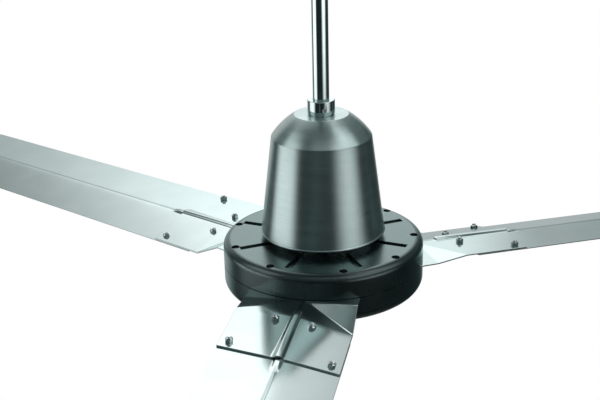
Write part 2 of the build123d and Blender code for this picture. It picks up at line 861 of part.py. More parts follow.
def carrier_plate():
    plate = tube(carrier_radius, coupling_radius, carrier_base, carrier_top)
    screw_hole = Pos(carrier_screw_circle, 0, 0) * through_carrier(small_screw_d)
    for tool in ring_of(screw_hole, carrier_screw_count, carrier_screw_first_angle):
        plate -= tool
    plate -= Pos(-capacitor_distance, 0, 0) * through_carrier(capacitor_stud_d)
    for y in terminal_fixing_places():
        plate -= Pos(terminal_distance, y, 0) * through_carrier(terminal_fixing_d)
    return plate - earth_screw_place() * through_carrier(small_screw_d)


def through_carrier(diameter):
    return disc(diameter / 2, carrier_base - cut_over, carrier_top + cut_over)


def earth_screw_place():
    return Rot(0, 0, earth_screw_angle) * Pos(earth_screw_circle, 0, 0)


def carrier_screws():
    length = carrier_thickness + coupling_flange_thickness
    screw = round_screw(small_screw_d, small_head_d, small_head_height, length)
    screw = Pos(carrier_screw_circle, 0, carrier_top) * screw
    return group(ring_of(screw, carrier_screw_count, carrier_screw_first_angle))


def motor_capacitor():
    can = disc(capacitor_radius, carrier_top, carrier_top + capacitor_height)
    can = fillet(can.edges().filter_by(GeomType.CIRCLE), capacitor_edge_radius)
    stud = disc(capacitor_stud_d / 2, carrier_base - capacitor_nut_height,
                carrier_top + capacitor_edge_radius)
    return Pos(-capacitor_distance, 0, 0) * (can + stud)


def capacitor_nut():
    nut = hex_nut(capacitor_nut_flats, capacitor_nut_height, capacitor_stud_d)
    return Pos(-capacitor_distance, 0, carrier_base - capacitor_nut_height) * nut


def pole_places():
    first = -terminal_pitch * (terminal_poles - 1) / 2
    return [first + k * terminal_pitch for k in range(terminal_poles)]


def pole_screw_places():
    sides = (terminal_distance - terminal_width / 4, terminal_distance + terminal_width / 4)
    return [(x, y) for y in pole_places() for x in sides]


def terminal_fixing_places():
    return [-terminal_fixing_spacing / 2, terminal_fixing_spacing / 2]


def terminal_block():
    top = carrier_top + terminal_height
    body = block(-terminal_width / 2, terminal_width / 2, -terminal_length / 2, terminal_length / 2,
                 carrier_top, top)
    body = Pos(terminal_distance, 0, 0) * body
    body = chamfer(body.faces().sort_by(Axis.Z)[-1].edges(), terminal_edge)
    for x, y in pole_screw_places():
        body -= Pos(x, y, 0) * disc(terminal_well_d / 2, top - terminal_well_depth, top + cut_over)
    hole = disc(terminal_fixing_d / 2, carrier_top - cut_over, top + cut_over)
    hole += disc(terminal_fixing_head_d / 2 + free_gap, top - terminal_well_depth, top + cut_over)
    for y in terminal_fixing_places():
        body -= Pos(terminal_distance, y, 0) * hole
    return body


def terminal_screws():
    floor = carrier_top + terminal_height - terminal_well_depth
    top = floor + terminal_screw_height
    screw = grub_screw(terminal_screw_d, terminal_screw_key, terminal_screw_height / 2, floor, top)
    return group([Pos(x, y, 0) * screw for x, y in pole_screw_places()])


def terminal_fixing_screws():
    seat = carrier_top + terminal_height - terminal_well_depth
    length = seat - carrier_base
    screw = round_screw(terminal_fixing_d, terminal_fixing_head_d, terminal_fixing_head_height, length)
    return group([Pos(terminal_distance, y, seat) * screw for y in terminal_fixing_places()])


def earth_screw():
    length = carrier_thickness + small_head_height
    screw = round_screw(small_screw_d, small_head_d, small_head_height, length)
    return earth_screw_place() * Pos(0, 0, carrier_top) * screw


def bell_cover():
    shell = spun_shell(bell_rim_radius, bell_shoulder_radius, bell_shoulder_drop, bell_crown_radius,
                       bell_height, bell_dome_bulge, spigot_radius)
    return Pos(0, 0, bell_rim) * shell


def ceiling_canopy():
    shell = spun_shell(canopy_rim_radius, canopy_shoulder_radius, canopy_shoulder_rise, canopy_crown_radius,
                       canopy_height, canopy_dome_bulge, spigot_radius)
    return Pos(0, 0, canopy_rim) * Rot(180, 0, 0) * shell


def on_bell(shape):
    return Pos(0, 0, bell_top) * shape


def under_canopy(shape):
    turn = Rot(0, 0, 2 * set_screw_angle)
    return turn * Pos(0, 0, canopy_bottom) * Rot(180, 0, 0) * shape


def bearing_nodes(name, bore_d, outer_d, low, width):
    return {name + "_bearing_inner_ring": bearing_inner_ring(bore_d, outer_d, low, width),
            name + "_bearing_outer_ring": bearing_outer_ring(bore_d, outer_d, low, width),
            name + "_bearing_balls": bearing_balls(bore_d, outer_d, low, width)}


nodes = {
    "ceiling_bracket": ceiling_bracket(),
    "hanger_bolt": hanger_bolt(),
    "hanger_nut": hanger_nut(),
    "hanger_split_pin": hanger_split_pin(),
    "hanger_bush": hanger_bush(),
    "rod_eye": rod_eye(),
    "rod_eye_pin": rod_eye_pin(),
    "ceiling_canopy": ceiling_canopy(),
    "canopy_collar": under_canopy(collar()),
    "canopy_locknut": under_canopy(Pos(0, 0, -sheet_wall - locknut_height) * collar_locknut()),
    "canopy_set_screw": under_canopy(collar_set_screw()),
    "downrod": downrod(),
    "bell_collar": on_bell(collar()),
    "bell_locknut": on_bell(Pos(0, 0, -sheet_wall - locknut_height) * collar_locknut()),
    "bell_set_screw": on_bell(collar_set_screw()),
    "bell_cover": bell_cover(),
    "shaft_coupling": shaft_coupling(),
    "coupling_bolt": coupling_bolt(),
    "coupling_nut": coupling_nut(),
    "coupling_split_pin": coupling_split_pin(),
    "coupling_grub_screw": coupling_grub_screw(),
    "carrier_plate": carrier_plate(),
    "carrier_screws": carrier_screws(),
    "motor_capacitor": motor_capacitor(),
    "capacitor_nut": capacitor_nut(),
    "terminal_block": terminal_block(),
    "terminal_screws": terminal_screws(),
    "terminal_fixing_screws": terminal_fixing_screws(),
    "earth_screw": earth_screw(),
    "motor_shaft": motor_shaft(),
    "shaft_circlip": shaft_circlip(),
    "stator_core": stator_core(),
    "stator_coils": stator_coils(),
    "rotor_ring": rotor_ring(),
    "upper_housing": upper_housing(),
    "lower_housing": lower_housing(),
    "housing_screws": housing_screws(),
    "bottom_cap": bottom_cap(),
}
nodes.update(bearing_nodes("upper", shaft_upper_d, upper_bearing_d, upper_bearing_low(),
                           upper_bearing_width))
nodes.update(bearing_nodes("lower", shaft_lower_d, lower_bearing_d, lower_bearing_low(),
                           lower_bearing_width))

bracket_shape = blade_bracket()
blade_shape = blade()
for number in range(blade_count):
    turn = Rot(0, 0, first_blade_angle + 360 * number / blade_count)
    place = str(number + 1)
    nodes["blade_bracket_" + place] = turn * bracket_shape
    nodes["blade_" + place] = turn * blade_shape
    nodes["blade_screws_" + place] = group([turn * screw for screw in blade_screws()])
    nodes["blade_nuts_" + place] = group([turn * nut for nut in blade_nuts()])

for name, shape in nodes.items():
    export_step(shape, "parts/" + name + ".step")
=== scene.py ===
import math
import bmesh
import bpy
from mathutils import Matrix, Vector


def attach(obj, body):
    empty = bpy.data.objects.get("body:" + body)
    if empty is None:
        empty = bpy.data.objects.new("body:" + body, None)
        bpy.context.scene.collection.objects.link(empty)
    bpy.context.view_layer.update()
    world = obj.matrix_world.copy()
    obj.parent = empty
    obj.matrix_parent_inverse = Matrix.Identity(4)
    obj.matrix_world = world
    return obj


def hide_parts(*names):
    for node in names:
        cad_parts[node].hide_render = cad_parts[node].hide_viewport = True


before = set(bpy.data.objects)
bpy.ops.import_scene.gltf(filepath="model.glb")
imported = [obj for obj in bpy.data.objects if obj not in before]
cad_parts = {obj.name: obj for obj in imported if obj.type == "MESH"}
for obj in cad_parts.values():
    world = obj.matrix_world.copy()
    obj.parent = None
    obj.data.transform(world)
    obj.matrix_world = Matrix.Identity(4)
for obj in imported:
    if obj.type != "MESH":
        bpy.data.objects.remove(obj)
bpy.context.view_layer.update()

# Ceiling bracket with its hanger bolt, nut and split pin. Pressed from 4 mm steel plate and zinc plated, it
# is screwed to the ceiling through two holes. The bolt carries the whole fan, and the split pin keeps the
# nut on.

zinc_dark = (0.46, 0.49, 0.49, 1)
zinc_light = (0.66, 0.68, 0.67, 1)


def put(tree, kind, feeds=None, **settings):
    made = tree.nodes.new(kind)
    for name, value in settings.items():
        setattr(made, name, value)
    for socket, source in (feeds or {}).items():
        if isinstance(source, bpy.types.NodeSocket):
            tree.links.new(source, made.inputs[socket])
        else:
            made.inputs[socket].default_value = source
    return made


def work(tree, how, *values):
    # One sum in a node tree
    return put(tree, "ShaderNodeMath", dict(enumerate(values)), operation=how).outputs[0]


def remap(tree, value, low, high, start=0, end=1, how="LINEAR", clamp=True):
    # Carries a value from one span over to another
    feeds = {"Value": value, "From Min": low, "From Max": high, "To Min": start, "To Max": end}
    return put(tree, "ShaderNodeMapRange", feeds, interpolation_type=how, clamp=clamp).outputs[0]


def effect_group(name, inputs, outputs):
    tree = bpy.data.node_groups.new(name, "ShaderNodeTree")
    for label, value in inputs.items():
        socket = tree.interface.new_socket(label, in_out="INPUT", socket_type="NodeSocketFloat")
        socket.default_value = value
    for label in outputs:
        tree.interface.new_socket(label, in_out="OUTPUT", socket_type="NodeSocketFloat")
    return tree, tree.nodes.new("NodeGroupInput").outputs, tree.nodes.new("NodeGroupOutput").inputs


blotches, given, wanted = effect_group("handling_blotches", {"Size": 0.03, "Grit": 0.0008},
                                       ["Blotch", "Grit"])
place = put(blotches, "ShaderNodeTexCoord").outputs["Object"]
for label, size, detail, roughness in (("Blotch", "Size", 3, 0.55), ("Grit", "Grit", 1, 0.5)):
    cloud = put(blotches, "ShaderNodeTexNoise", {
        "Vector": place, "Scale": work(blotches, "DIVIDE", 1, given[size]), "Detail": detail,
        "Roughness": roughness})
    blotches.links.new(remap(blotches, cloud.outputs[0], 0.32, 0.68), wanted[label])

# Wear and painted highlight on edges: lighter where the shading normal turns over an edge, uneven along it
edge_wear_and_highlight, given, wanted = effect_group("edge_wear_and_highlight", {"Reach": 0.0006, "Patch": 0.006, "Amount": 0.7},
                                        ["Wear"])
rounded = put(edge_wear_and_highlight, "ShaderNodeBevel", {"Radius": given["Reach"]}, samples=4)
flat = put(edge_wear_and_highlight, "ShaderNodeNewGeometry").outputs["Normal"]
turned = put(edge_wear_and_highlight, "ShaderNodeVectorMath", {0: rounded.outputs[0], 1: flat}, operation="DOT_PRODUCT")
on_edge = remap(edge_wear_and_highlight, turned.outputs["Value"], 0.995, 0.9)
edge_patches = put(edge_wear_and_highlight, "ShaderNodeTexNoise", {
    "Vector": put(edge_wear_and_highlight, "ShaderNodeTexCoord").outputs["Object"],
    "Scale": work(edge_wear_and_highlight, "DIVIDE", 1, given["Patch"]), "Detail": 3})
uneven = remap(edge_wear_and_highlight, edge_patches.outputs[0], 0.4, 0.6)
wear_and_highlight = work(edge_wear_and_highlight, "MULTIPLY", work(edge_wear_and_highlight, "MULTIPLY", on_edge, uneven), given["Amount"])
edge_wear_and_highlight.links.new(wear_and_highlight, wanted["Wear"])


def new_finish(name, metallic, **sockets):
    material = bpy.data.materials.new(name)
    material.use_nodes = True
    shader = material.node_tree.nodes["Principled BSDF"]
    shader.inputs["Metallic"].default_value = metallic
    for label, value in sockets.items():
        shader.inputs[label.replace("_", " ")].default_value = value
    return material, material.node_tree, shader


def tint(tree, shader, mask, dark, light):
    mixed = put(tree, "ShaderNodeMix", {"Factor": mask, 6: dark, 7: light}, data_type="RGBA")
    tree.links.new(mixed.outputs[2], shader.inputs["Base Color"])


def shine(tree, shader, mask, smooth, rough):
    tree.links.new(remap(tree, mask, 0, 1, smooth, rough), shader.inputs["Roughness"])


def relief(tree, shader, height, strength, depth):
    bump = put(tree, "ShaderNodeBump", {"Height": height, "Strength": strength, "Distance": depth})
    tree.links.new(bump.outputs[0], shader.inputs["Normal"])


def worn_and_highlit(tree, shader, edge_colour, smooth, **settings):
    # Lightens and smooths the edges: rubbed wear, and on the black paint partly a painted highlight
    wear_and_highlight = put(tree, "ShaderNodeGroup", settings, node_tree=edge_wear_and_highlight).outputs["Wear"]
    for label, value, kind, first, out in (("Base Color", edge_colour, "RGBA", 6, 2),
                                           ("Roughness", smooth, "FLOAT", 2, 0)):
        mixed = put(tree, "ShaderNodeMix", {"Factor": wear_and_highlight}, data_type=kind)
        tree.links.new(shader.inputs[label].links[0].from_socket, mixed.inputs[first])
        mixed.inputs[first + 1].default_value = value
        tree.links.new(mixed.outputs[out], shader.inputs[label])


def handled(name, metallic, size, grit, colours, rough, bumps, edge_colour, bare_rough, **wear_and_highlight):
    # The usual finish: blotches in colour and gloss, fine grit all over and rubbed edges
    material, tree, shader = new_finish(name, metallic)
    skin = put(tree, "ShaderNodeGroup", {"Size": size, "Grit": grit}, node_tree=blotches).outputs
    tint(tree, shader, skin["Blotch"], *colours)
    shine(tree, shader, skin["Blotch"], *rough)
    relief(tree, shader, skin["Grit"], *bumps)
    worn_and_highlit(tree, shader, edge_colour, bare_rough, **wear_and_highlight)
    return material


def dress(material, *names):
    for name in names:
        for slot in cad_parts[name].material_slots:
            slot.material = material


zinc = handled("zinc_plate", 1, size=0.012, grit=0.0006, colours=(zinc_dark, zinc_light), rough=(0.42, 0.28),
               bumps=(0.15, 0.0002), edge_colour=(0.78, 0.79, 0.78, 1), bare_rough=0.2)
dress(zinc, "ceiling_bracket", "hanger_bolt", "hanger_nut", "hanger_split_pin")

# Rod eye, its cross pin and the bush that it turns on. The eye is a turned and drilled steel end that is
# plugged into the rod and pinned, and the black rubber bush in it keeps the motor's hum out of the ceiling.

turned_dark = (0.38, 0.41, 0.41, 1)
turned_light = (0.6, 0.63, 0.63, 1)
rubber_dark = (0.012, 0.013, 0.013, 1)
rubber_light = (0.03, 0.032, 0.032, 1)

rings, given, wanted = effect_group("turning_rings", {"Pitch": 0.0004, "Run": 3.0}, ["Ring", "Broad"])
place = put(rings, "ShaderNodeTexCoord").outputs["Object"]
part = put(rings, "ShaderNodeSeparateXYZ", {0: place}).outputs
radius = work(rings, "SQRT", work(rings, "ADD", work(rings, "MULTIPLY", part["X"], part["X"]),
                                  work(rings, "MULTIPLY_ADD", part["Y"], part["Y"], 0.000001)))
along = work(rings, "DIVIDE", work(rings, "SUBTRACT", part["Z"], radius), given["Pitch"])
turn_x = work(rings, "MULTIPLY", work(rings, "DIVIDE", part["X"], radius), given["Run"])
turn_y = work(rings, "MULTIPLY", work(rings, "DIVIDE", part["Y"], radius), given["Run"])
fine = put(rings, "ShaderNodeCombineXYZ", {0: turn_x, 1: turn_y, 2: along})
wide = put(rings, "ShaderNodeCombineXYZ", {0: turn_x, 1: turn_y, 2: work(rings, "MULTIPLY", along, 0.08)})
for label, source, detail in (("Ring", fine, 2), ("Broad", wide, 3)):
    noise = put(rings, "ShaderNodeTexNoise", {"Vector": source.outputs[0], "Scale": 1, "Detail": detail})
    rings.links.new(remap(rings, noise.outputs[0], 0.3, 0.7), wanted[label])

turned_steel, tree, shader = new_finish("turned_steel", 1)
lathe = put(tree, "ShaderNodeGroup", {"Pitch": 0.0005, "Run": 0.6}, node_tree=rings)
tint(tree, shader, lathe.outputs["Broad"], turned_dark, turned_light)
shine(tree, shader, lathe.outputs["Ring"], 0.22, 0.38)
relief(tree, shader, lathe.outputs["Ring"], 0.25, 0.0002)
worn_and_highlit(tree, shader, (0.72, 0.75, 0.75, 1), 0.16, Amount=0.5)
dress(turned_steel, "rod_eye")
dress(zinc, "rod_eye_pin")

rubber = handled("bush_rubber", 0, size=0.006, grit=0.0005, colours=(rubber_dark, rubber_light),
                 rough=(0.62, 0.8), bumps=(0.3, 0.0002), edge_colour=(0.06, 0.062, 0.062, 1), bare_rough=0.55)
dress(rubber, "hanger_bush")

# Canopy that hides the ceiling bracket, with the collar, nut and set screw that hold it on the rod. The
# canopy is spun from 1 mm steel sheet over a former and brushed as it turns; the collar is turned and
# chromed.

canopy_rim_z = -0.008
canopy_sizes = {"rim": 0.066, "shoulder": 0.054, "drop": 0.022, "crown": 0.027, "height": 0.08,
                "bulge": 0.001}
sheet_wall = 0.001
spigot_hole = 0.0121
rim_roll = 0.0012
crease_round = 0.0028
crown_round = 0.0012
dome_steps = 8
collar_edge = 0.0003
node_sharp = 30
shell_dark = (0.46, 0.57, 0.565, 1)
shell_light = (0.57, 0.69, 0.685, 1)


def eased_line(points, steps=6):
    # Rounds each corner (x, z, radius) of an open line with an arc that touches both of its sides
    line = []
    for k, (x, z, radius) in enumerate(points):
        here = Vector((x, z))
        if radius == 0 or k in (0, len(points) - 1):
            line.append(here)
            continue
        back = (Vector(points[k - 1][:2]) - here).normalized()
        ahead = (Vector(points[k + 1][:2]) - here).normalized()
        half = back.angle(ahead) / 2
        reach = radius / math.tan(half)
        middle = here + (back + ahead).normalized() * radius / math.sin(half)
        start = here + back * reach - middle
        turn = start.angle_signed(here + ahead * reach - middle)
        line += [middle + Matrix.Rotation(-turn * n / steps, 2) @ start for n in range(steps + 1)]
    return line


def around(angle, outline):
    # An outline of (radius, height) points, turned to an angle about the vertical axis
    return [(r * math.cos(angle), r * math.sin(angle), z) for r, z in outline]


def ring_mesh(name, rows):
    # Rows of points skinned over, from each row to the next and from the last back to the first
    count = len(rows[0])
    points = [p for row in rows for p in row]
    faces = []
    for k in range(len(rows)):
        for n in range(count):
            m, far = (n + 1) % count, (k + 1) % len(rows)
            faces.append((k * count + n, far * count + n, far * count + m, k * count + m))
    mesh = bpy.data.meshes.new(name)
    mesh.from_pydata(points, [], faces)
    return mesh


def cleaned(mesh):
    bm = bmesh.new()
    bm.from_mesh(mesh)
    bmesh.ops.remove_doubles(bm, verts=bm.verts, dist=0.000001)
    bmesh.ops.dissolve_degenerate(bm, edges=bm.edges, dist=0.0000001)
    bmesh.ops.recalc_face_normals(bm, faces=bm.faces)
    bm.to_mesh(mesh)
    bm.free()
    return mesh


def spun(name, outline, steps):
    # A closed outline carried round the vertical axis
    return cleaned(ring_mesh(name, [around(2 * math.pi * k / steps, outline) for k in range(steps)]))


def into_scene(name, data):
    made = bpy.data.objects.new(name, data)
    bpy.context.scene.collection.objects.link(made)
    return made


def show(name, mesh, sharp=35):
    mesh.polygons.foreach_set("use_smooth", [True] * len(mesh.polygons))
    mesh.set_sharp_from_angle(angle=math.radians(sharp))
    return into_scene(name, mesh)


def fit(piece, material, body, slot, *nodes):
    # A finished piece gets its material and takes the place of its plain nodes
    piece.data.materials.clear()
    piece.data.materials.append(material)
    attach(piece, body)
    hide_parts(*nodes)


def shell_outline(rim, shoulder, drop, crown, height, bulge):
    # Rolled rim, conical wall, rounded crease, bulged dome and flat top, then back along the inside
    def side(inset):
        crease = Vector((shoulder - inset, height - drop - inset * 0.6))
        edge = Vector((crown - inset * 0.4, height - inset))
        shares = [n / dome_steps for n in range(1, dome_steps)]
        dome = [crease.lerp(edge, s) + Vector((bulge, bulge)) * 4 * s * (1 - s) for s in shares]
        points = [(rim - rim_roll - inset + 0.0002, rim_roll * 2.1, 0), (*crease, crease_round)]
        points += [(*p, 0) for p in dome] + [(*edge, crown_round), (spigot_hole, height - inset, 0)]
        return eased_line(points)

    centre = Vector((rim - rim_roll, rim_roll))
    roll = [centre + rim_roll * Vector((math.cos(math.radians(a)), math.sin(math.radians(a))))
            for a in range(150, 430, 20)]
    return roll + side(0) + side(sheet_wall)[::-1]


def lift(outline, z, way=1):
    # An outline moved to its height, and upside down where way is -1
    return [(p[0], z + way * p[1]) for p in outline]


spun_steel, tree, shader = new_finish("spun_brushed_steel", 1, Anisotropic=0.7, Anisotropic_Rotation=0.25)
lathe = put(tree, "ShaderNodeGroup", {"Pitch": 0.0007, "Run": 1.6}, node_tree=rings)
skin = put(tree, "ShaderNodeGroup", {"Size": 0.05, "Grit": 0.0008}, node_tree=blotches)
both = work(tree, "MULTIPLY_ADD", lathe.outputs["Ring"], 0.45,
            work(tree, "MULTIPLY", lathe.outputs["Broad"], 0.55))
patchy = work(tree, "MULTIPLY_ADD", both, 0.7, work(tree, "MULTIPLY", skin.outputs["Blotch"], 0.3))
tint(tree, shader, both, shell_dark, shell_light)
shine(tree, shader, patchy, 0.26, 0.34)
relief(tree, shader, lathe.outputs["Ring"], 0.08, 0.0001)
worn_and_highlit(tree, shader, (0.85, 0.95, 0.945, 1), 0.2, Reach=0.001, Amount=0.8)
tree.links.new(put(tree, "ShaderNodeTangent", direction_type="RADIAL", axis="Z").outputs[0],
               shader.inputs["Tangent"])

canopy_outline = lift(shell_outline(**canopy_sizes), canopy_rim_z, -1)
canopy = show("canopy_shell", spun("canopy_shell", canopy_outline, 144))
fit(canopy, spun_steel, "canopy", "brushed_steel", "ceiling_canopy")

chrome, tree, shader = new_finish("chrome_plate", 1)
lathe = put(tree, "ShaderNodeGroup", {"Pitch": 0.0006, "Run": 1.5}, node_tree=rings)
skin = put(tree, "ShaderNodeGroup", {"Size": 0.02, "Grit": 0.001}, node_tree=blotches)
tint(tree, shader, skin.outputs["Blotch"], (0.62, 0.74, 0.735, 1), (0.7, 0.82, 0.815, 1))
shine(tree, shader, skin.outputs["Blotch"], 0.05, 0.11)
relief(tree, shader, lathe.outputs["Broad"], 0.05, 0.0002)
worn_and_highlit(tree, shader, (0.52, 0.6, 0.595, 1), 0.2, Reach=0.0004, Amount=0.4)
bright_steel = handled("bright_screw_steel", 1, size=0.003, grit=0.0004,
                       colours=((0.5, 0.56, 0.56, 1), (0.74, 0.81, 0.81, 1)), rough=(0.05, 0.1),
                       bumps=(0.12, 0.0001), edge_colour=(0.88, 0.93, 0.93, 1), bare_rough=0.08, Reach=0.0003,
                       Patch=0.002)


def node_mesh(node):
    # A copy of a node's mesh, with its seams joined and its own normals taken off
    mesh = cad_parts[node].data.copy()
    bm = bmesh.new()
    bm.from_mesh(mesh)
    bmesh.ops.remove_doubles(bm, verts=bm.verts, dist=0.000001)
    bm.to_mesh(mesh)
    bm.free()
    custom = mesh.attributes.get("custom_normal")
    if custom:
        mesh.attributes.remove(custom)
    return mesh


def break_edges(piece, width, sharp, clamp=True):
    edge = piece.modifiers.new("broken_edge", "BEVEL")
    edge.width = width
    edge.segments = 2
    edge.limit_method = "ANGLE"
    edge.angle_limit = math.radians(sharp)
    edge.use_clamp_overlap = clamp
    edge.harden_normals = True


def chromed_collar(node, body):
    # A copy of a collar with its sharp edges broken, as a file and the plating leave them
    piece = show(node + "_chromed", node_mesh(node), node_sharp)
    break_edges(piece, collar_edge, node_sharp, clamp=False)
    fit(piece, chrome, body, "chrome", node)


chromed_collar("canopy_collar", "canopy")
dress(zinc, "canopy_locknut")
dress(bright_steel, "canopy_set_screw")

# Downrod: a chromed steel tube, 19 mm across, that hangs from the eye and carries motor, bell and blades. It
# is drilled for the coupling bolt and for the wires, and pushed into the coupling under the bell.

dress(chrome, "downrod")

# Bell cover over the shaft joint, with its collar, nut and set screw. It is spun from steel sheet like the
# canopy, with a rolled rim, and brushed round its axis. The collar on its top clamps the rod with one screw.

bell_rim_z = -0.5526
bell_sizes = {"rim": 0.0744, "shoulder": 0.0589, "drop": 0.026, "crown": 0.0319, "height": 0.1434,
              "bulge": 0.0014}

bell = show("bell_shell", spun("bell_shell", lift(shell_outline(**bell_sizes), bell_rim_z), 192))
fit(bell, spun_steel, "bell", "brushed_steel", "bell_cover")
chromed_collar("bell_collar", "bell")
dress(zinc, "bell_locknut")
dress(bright_steel, "bell_set_screw")

# Shaft coupling inside the bell, with its bolt, nut, split pin and grub screw. A turned steel socket takes
# the rod from above and the motor shaft from below, and its flange carries the wiring plate.

dress(turned_steel, "shaft_coupling")
dress(zinc, "coupling_bolt", "coupling_nut", "coupling_split_pin", "coupling_grub_screw")

# Wiring plate in the bell, with the motor capacitor, the terminal block and the earth screw. The plate is
# zinc plated sheet, the capacitor a pale moulded can on one stud, the terminals black plastic with brass
# screws.

can_dark = (0.6, 0.6, 0.56, 1)
can_light = (0.74, 0.74, 0.7, 1)
plastic_dark = (0.012, 0.013, 0.013, 1)
plastic_light = (0.028, 0.03, 0.03, 1)

dress(zinc, "carrier_plate", "carrier_screws", "capacitor_nut", "terminal_fixing_screws")
can = handled("capacitor_can", 0, size=0.015, grit=0.0006, colours=(can_dark, can_light), rough=(0.35, 0.5),
              bumps=(0.1, 0.0002), edge_colour=(0.82, 0.82, 0.79, 1), bare_rough=0.3)
dress(can, "motor_capacitor")
plastic = handled("moulded_black_plastic", 0, size=0.01, grit=0.0007, colours=(plastic_dark, plastic_light),
                  rough=(0.42, 0.58), bumps=(0.25, 0.0002), edge_colour=(0.07, 0.073, 0.073, 1), bare_rough=0.34)
dress(plastic, "terminal_block")
brass = handled("turned_brass", 1, size=0.003, grit=0.0004,
                colours=((0.5, 0.36, 0.14, 1), (0.75, 0.58, 0.27, 1)), rough=(0.2, 0.36),
                bumps=(0.15, 0.0002), edge_colour=(0.86, 0.72, 0.42, 1), bare_rough=0.16, Reach=0.0003, Patch=0.002)
dress(brass, "terminal_screws", "earth_screw")

# Motor inside the housing: the fixed hollow shaft with its circlip, the wound stator, the rotor ring round it
# and the two ball bearings. Stator and rotor are stacked from sheets, and the balls run between ground rings.

sheet_pitch = 0.0005
wire_pitch = 0.0009


def diagonal(tree, one, other):
    # The distance across a corner, from the distances along its two sides
    return work(tree, "SQRT", work(tree, "MULTIPLY_ADD", one, one, work(tree, "MULTIPLY", other, other)))


dress(turned_steel, "motor_shaft")
dress(zinc, "shaft_circlip")
layers, given, wanted = effect_group("layer_lines", {"Pitch": 0.0005, "Radial": 0.0}, ["Layer"])
part = put(layers, "ShaderNodeSeparateXYZ", {0: put(layers, "ShaderNodeTexCoord").outputs["Object"]}).outputs
radius = diagonal(layers, part["X"], part["Y"])
place = work(layers, "MULTIPLY_ADD", given["Radial"], work(layers, "SUBTRACT", radius, part["Z"]), part["Z"])
place = work(layers, "DIVIDE", work(layers, "MULTIPLY", place, 2 * math.pi), given["Pitch"])
wave = work(layers, "SINE", place)
layers.links.new(work(layers, "MULTIPLY_ADD", wave, 0.5, 0.5), wanted["Layer"])

laminated, tree, shader = new_finish("stacked_sheets", 1)
lines = put(tree, "ShaderNodeGroup", {"Pitch": sheet_pitch, "Radial": 0}, node_tree=layers)
tint(tree, shader, lines.outputs[0], (0.14, 0.14, 0.145, 1), (0.36, 0.36, 0.365, 1))
shine(tree, shader, lines.outputs[0], 0.42, 0.6)
relief(tree, shader, lines.outputs[0], 0.4, 0.0001)
worn_and_highlit(tree, shader, (0.5, 0.5, 0.505, 1), 0.3)
dress(laminated, "stator_core", "rotor_ring")
copper, tree, shader = new_finish("enamelled_copper", 1, Coat_Weight=0.6)
lines = put(tree, "ShaderNodeGroup", {"Pitch": wire_pitch, "Radial": 1}, node_tree=layers)
tint(tree, shader, lines.outputs[0], (0.2, 0.07, 0.03, 1), (0.65, 0.27, 0.12, 1))
shine(tree, shader, lines.outputs[0], 0.28, 0.42)
relief(tree, shader, lines.outputs[0], 0.8, 0.0004)
worn_and_highlit(tree, shader, (0.85, 0.42, 0.22, 1), 0.2)
dress(copper, "stator_coils")
ground_steel, tree, shader = new_finish("ground_bearing_steel", 1)
lathe = put(tree, "ShaderNodeGroup", {"Pitch": 0.0002, "Run": 1}, node_tree=rings)
tint(tree, shader, lathe.outputs["Broad"], (0.62, 0.64, 0.65, 1), (0.74, 0.76, 0.77, 1))
shine(tree, shader, lathe.outputs["Ring"], 0.08, 0.18)
relief(tree, shader, lathe.outputs["Ring"], 0.1, 0.0001)
worn_and_highlit(tree, shader, (0.84, 0.86, 0.87, 1), 0.06, Reach=0.0003)
for side in ("upper", "lower"):
    dress(ground_steel, side + "_bearing_inner_ring", side + "_bearing_outer_ring", side + "_bearing_balls")

# Motor housing: two cast aluminium halves in satin black paint, with the blade brackets clamped in the seam.
# Nine socket screws in deep holes pull the halves together, and a black cap closes the lower bearing.

paint_dark = (0.0018, 0.0024, 0.0025, 1)
paint_light = (0.0045, 0.006, 0.0062, 1)
housing_top_z = -0.56
seam_z = -0.59
screw_circle = 0.109
screw_angles = [turn + 120 * k for k in range(3) for turn in (-112.5, -67.5, -30)]
well_radius = 0.0045
rim_round = 0.0006
groove_angles = [33.4 + 45 * k for k in range(8)]
groove_ends = (0.063, 0.105)
groove_half = 0.004
rim_depth = rim_round * 1.4
tool_top = 0.002
seam_outline = ((0.1188, -0.0001), (0.1206, -0.0009), (0.1206, 0.0009), (0.1188, 0.0001))
screw_head_z = -0.569
fastener_sharp = 28


def settled(held):
    # The plain mesh that an object's modifiers make; the object itself is thrown away
    depsgraph = bpy.context.evaluated_depsgraph_get()
    mesh = bpy.data.meshes.new_from_object(held.evaluated_get(depsgraph), depsgraph=depsgraph)
    bpy.data.objects.remove(held)
    return mesh


def run_tool(name, tool, blank, values, sharp=35):
    # Runs a blank through a node tool and keeps the plain mesh that comes out
    held = into_scene(name + "_blank", blank)
    step = held.modifiers.new("tool", "NODES")
    step.node_group = tool
    for item in tool.interface.items_tree:
        if item.item_type == "SOCKET" and item.in_out == "INPUT" and item.name in values:
            step[item.identifier] = values[item.name]
    return show(name, settled(held), sharp)


fasten = bpy.data.node_groups.new("set_fasteners", "GeometryNodeTree")
for label, kind in (("Spots", "Geometry"), ("Fastener", "Object"), ("Loose Turn", "Float"), ("Seed", "Int"),
                    ("Finish", "Material")):
    fasten.interface.new_socket(label, in_out="INPUT", socket_type="NodeSocket" + kind)
fasten.interface.new_socket("Set", in_out="OUTPUT", socket_type="NodeSocketGeometry")
given = fasten.nodes.new("NodeGroupInput").outputs
one = put(fasten, "GeometryNodeObjectInfo", {"Object": given["Fastener"]})
square = put(fasten, "GeometryNodeInputNamedAttribute", {"Name": "stand"}, data_type="FLOAT_VECTOR")
stand = put(fasten, "FunctionNodeAlignRotationToVector", {"Vector": square.outputs[0]}, axis="Z")
loose = put(fasten, "FunctionNodeRandomValue", {"Max": given["Loose Turn"], "Seed": given["Seed"]},
            data_type="FLOAT")
own_turn = put(fasten, "GeometryNodeInputNamedAttribute", {"Name": "turn"}, data_type="FLOAT")
turn = work(fasten, "ADD", loose.outputs[1], own_turn.outputs[0])
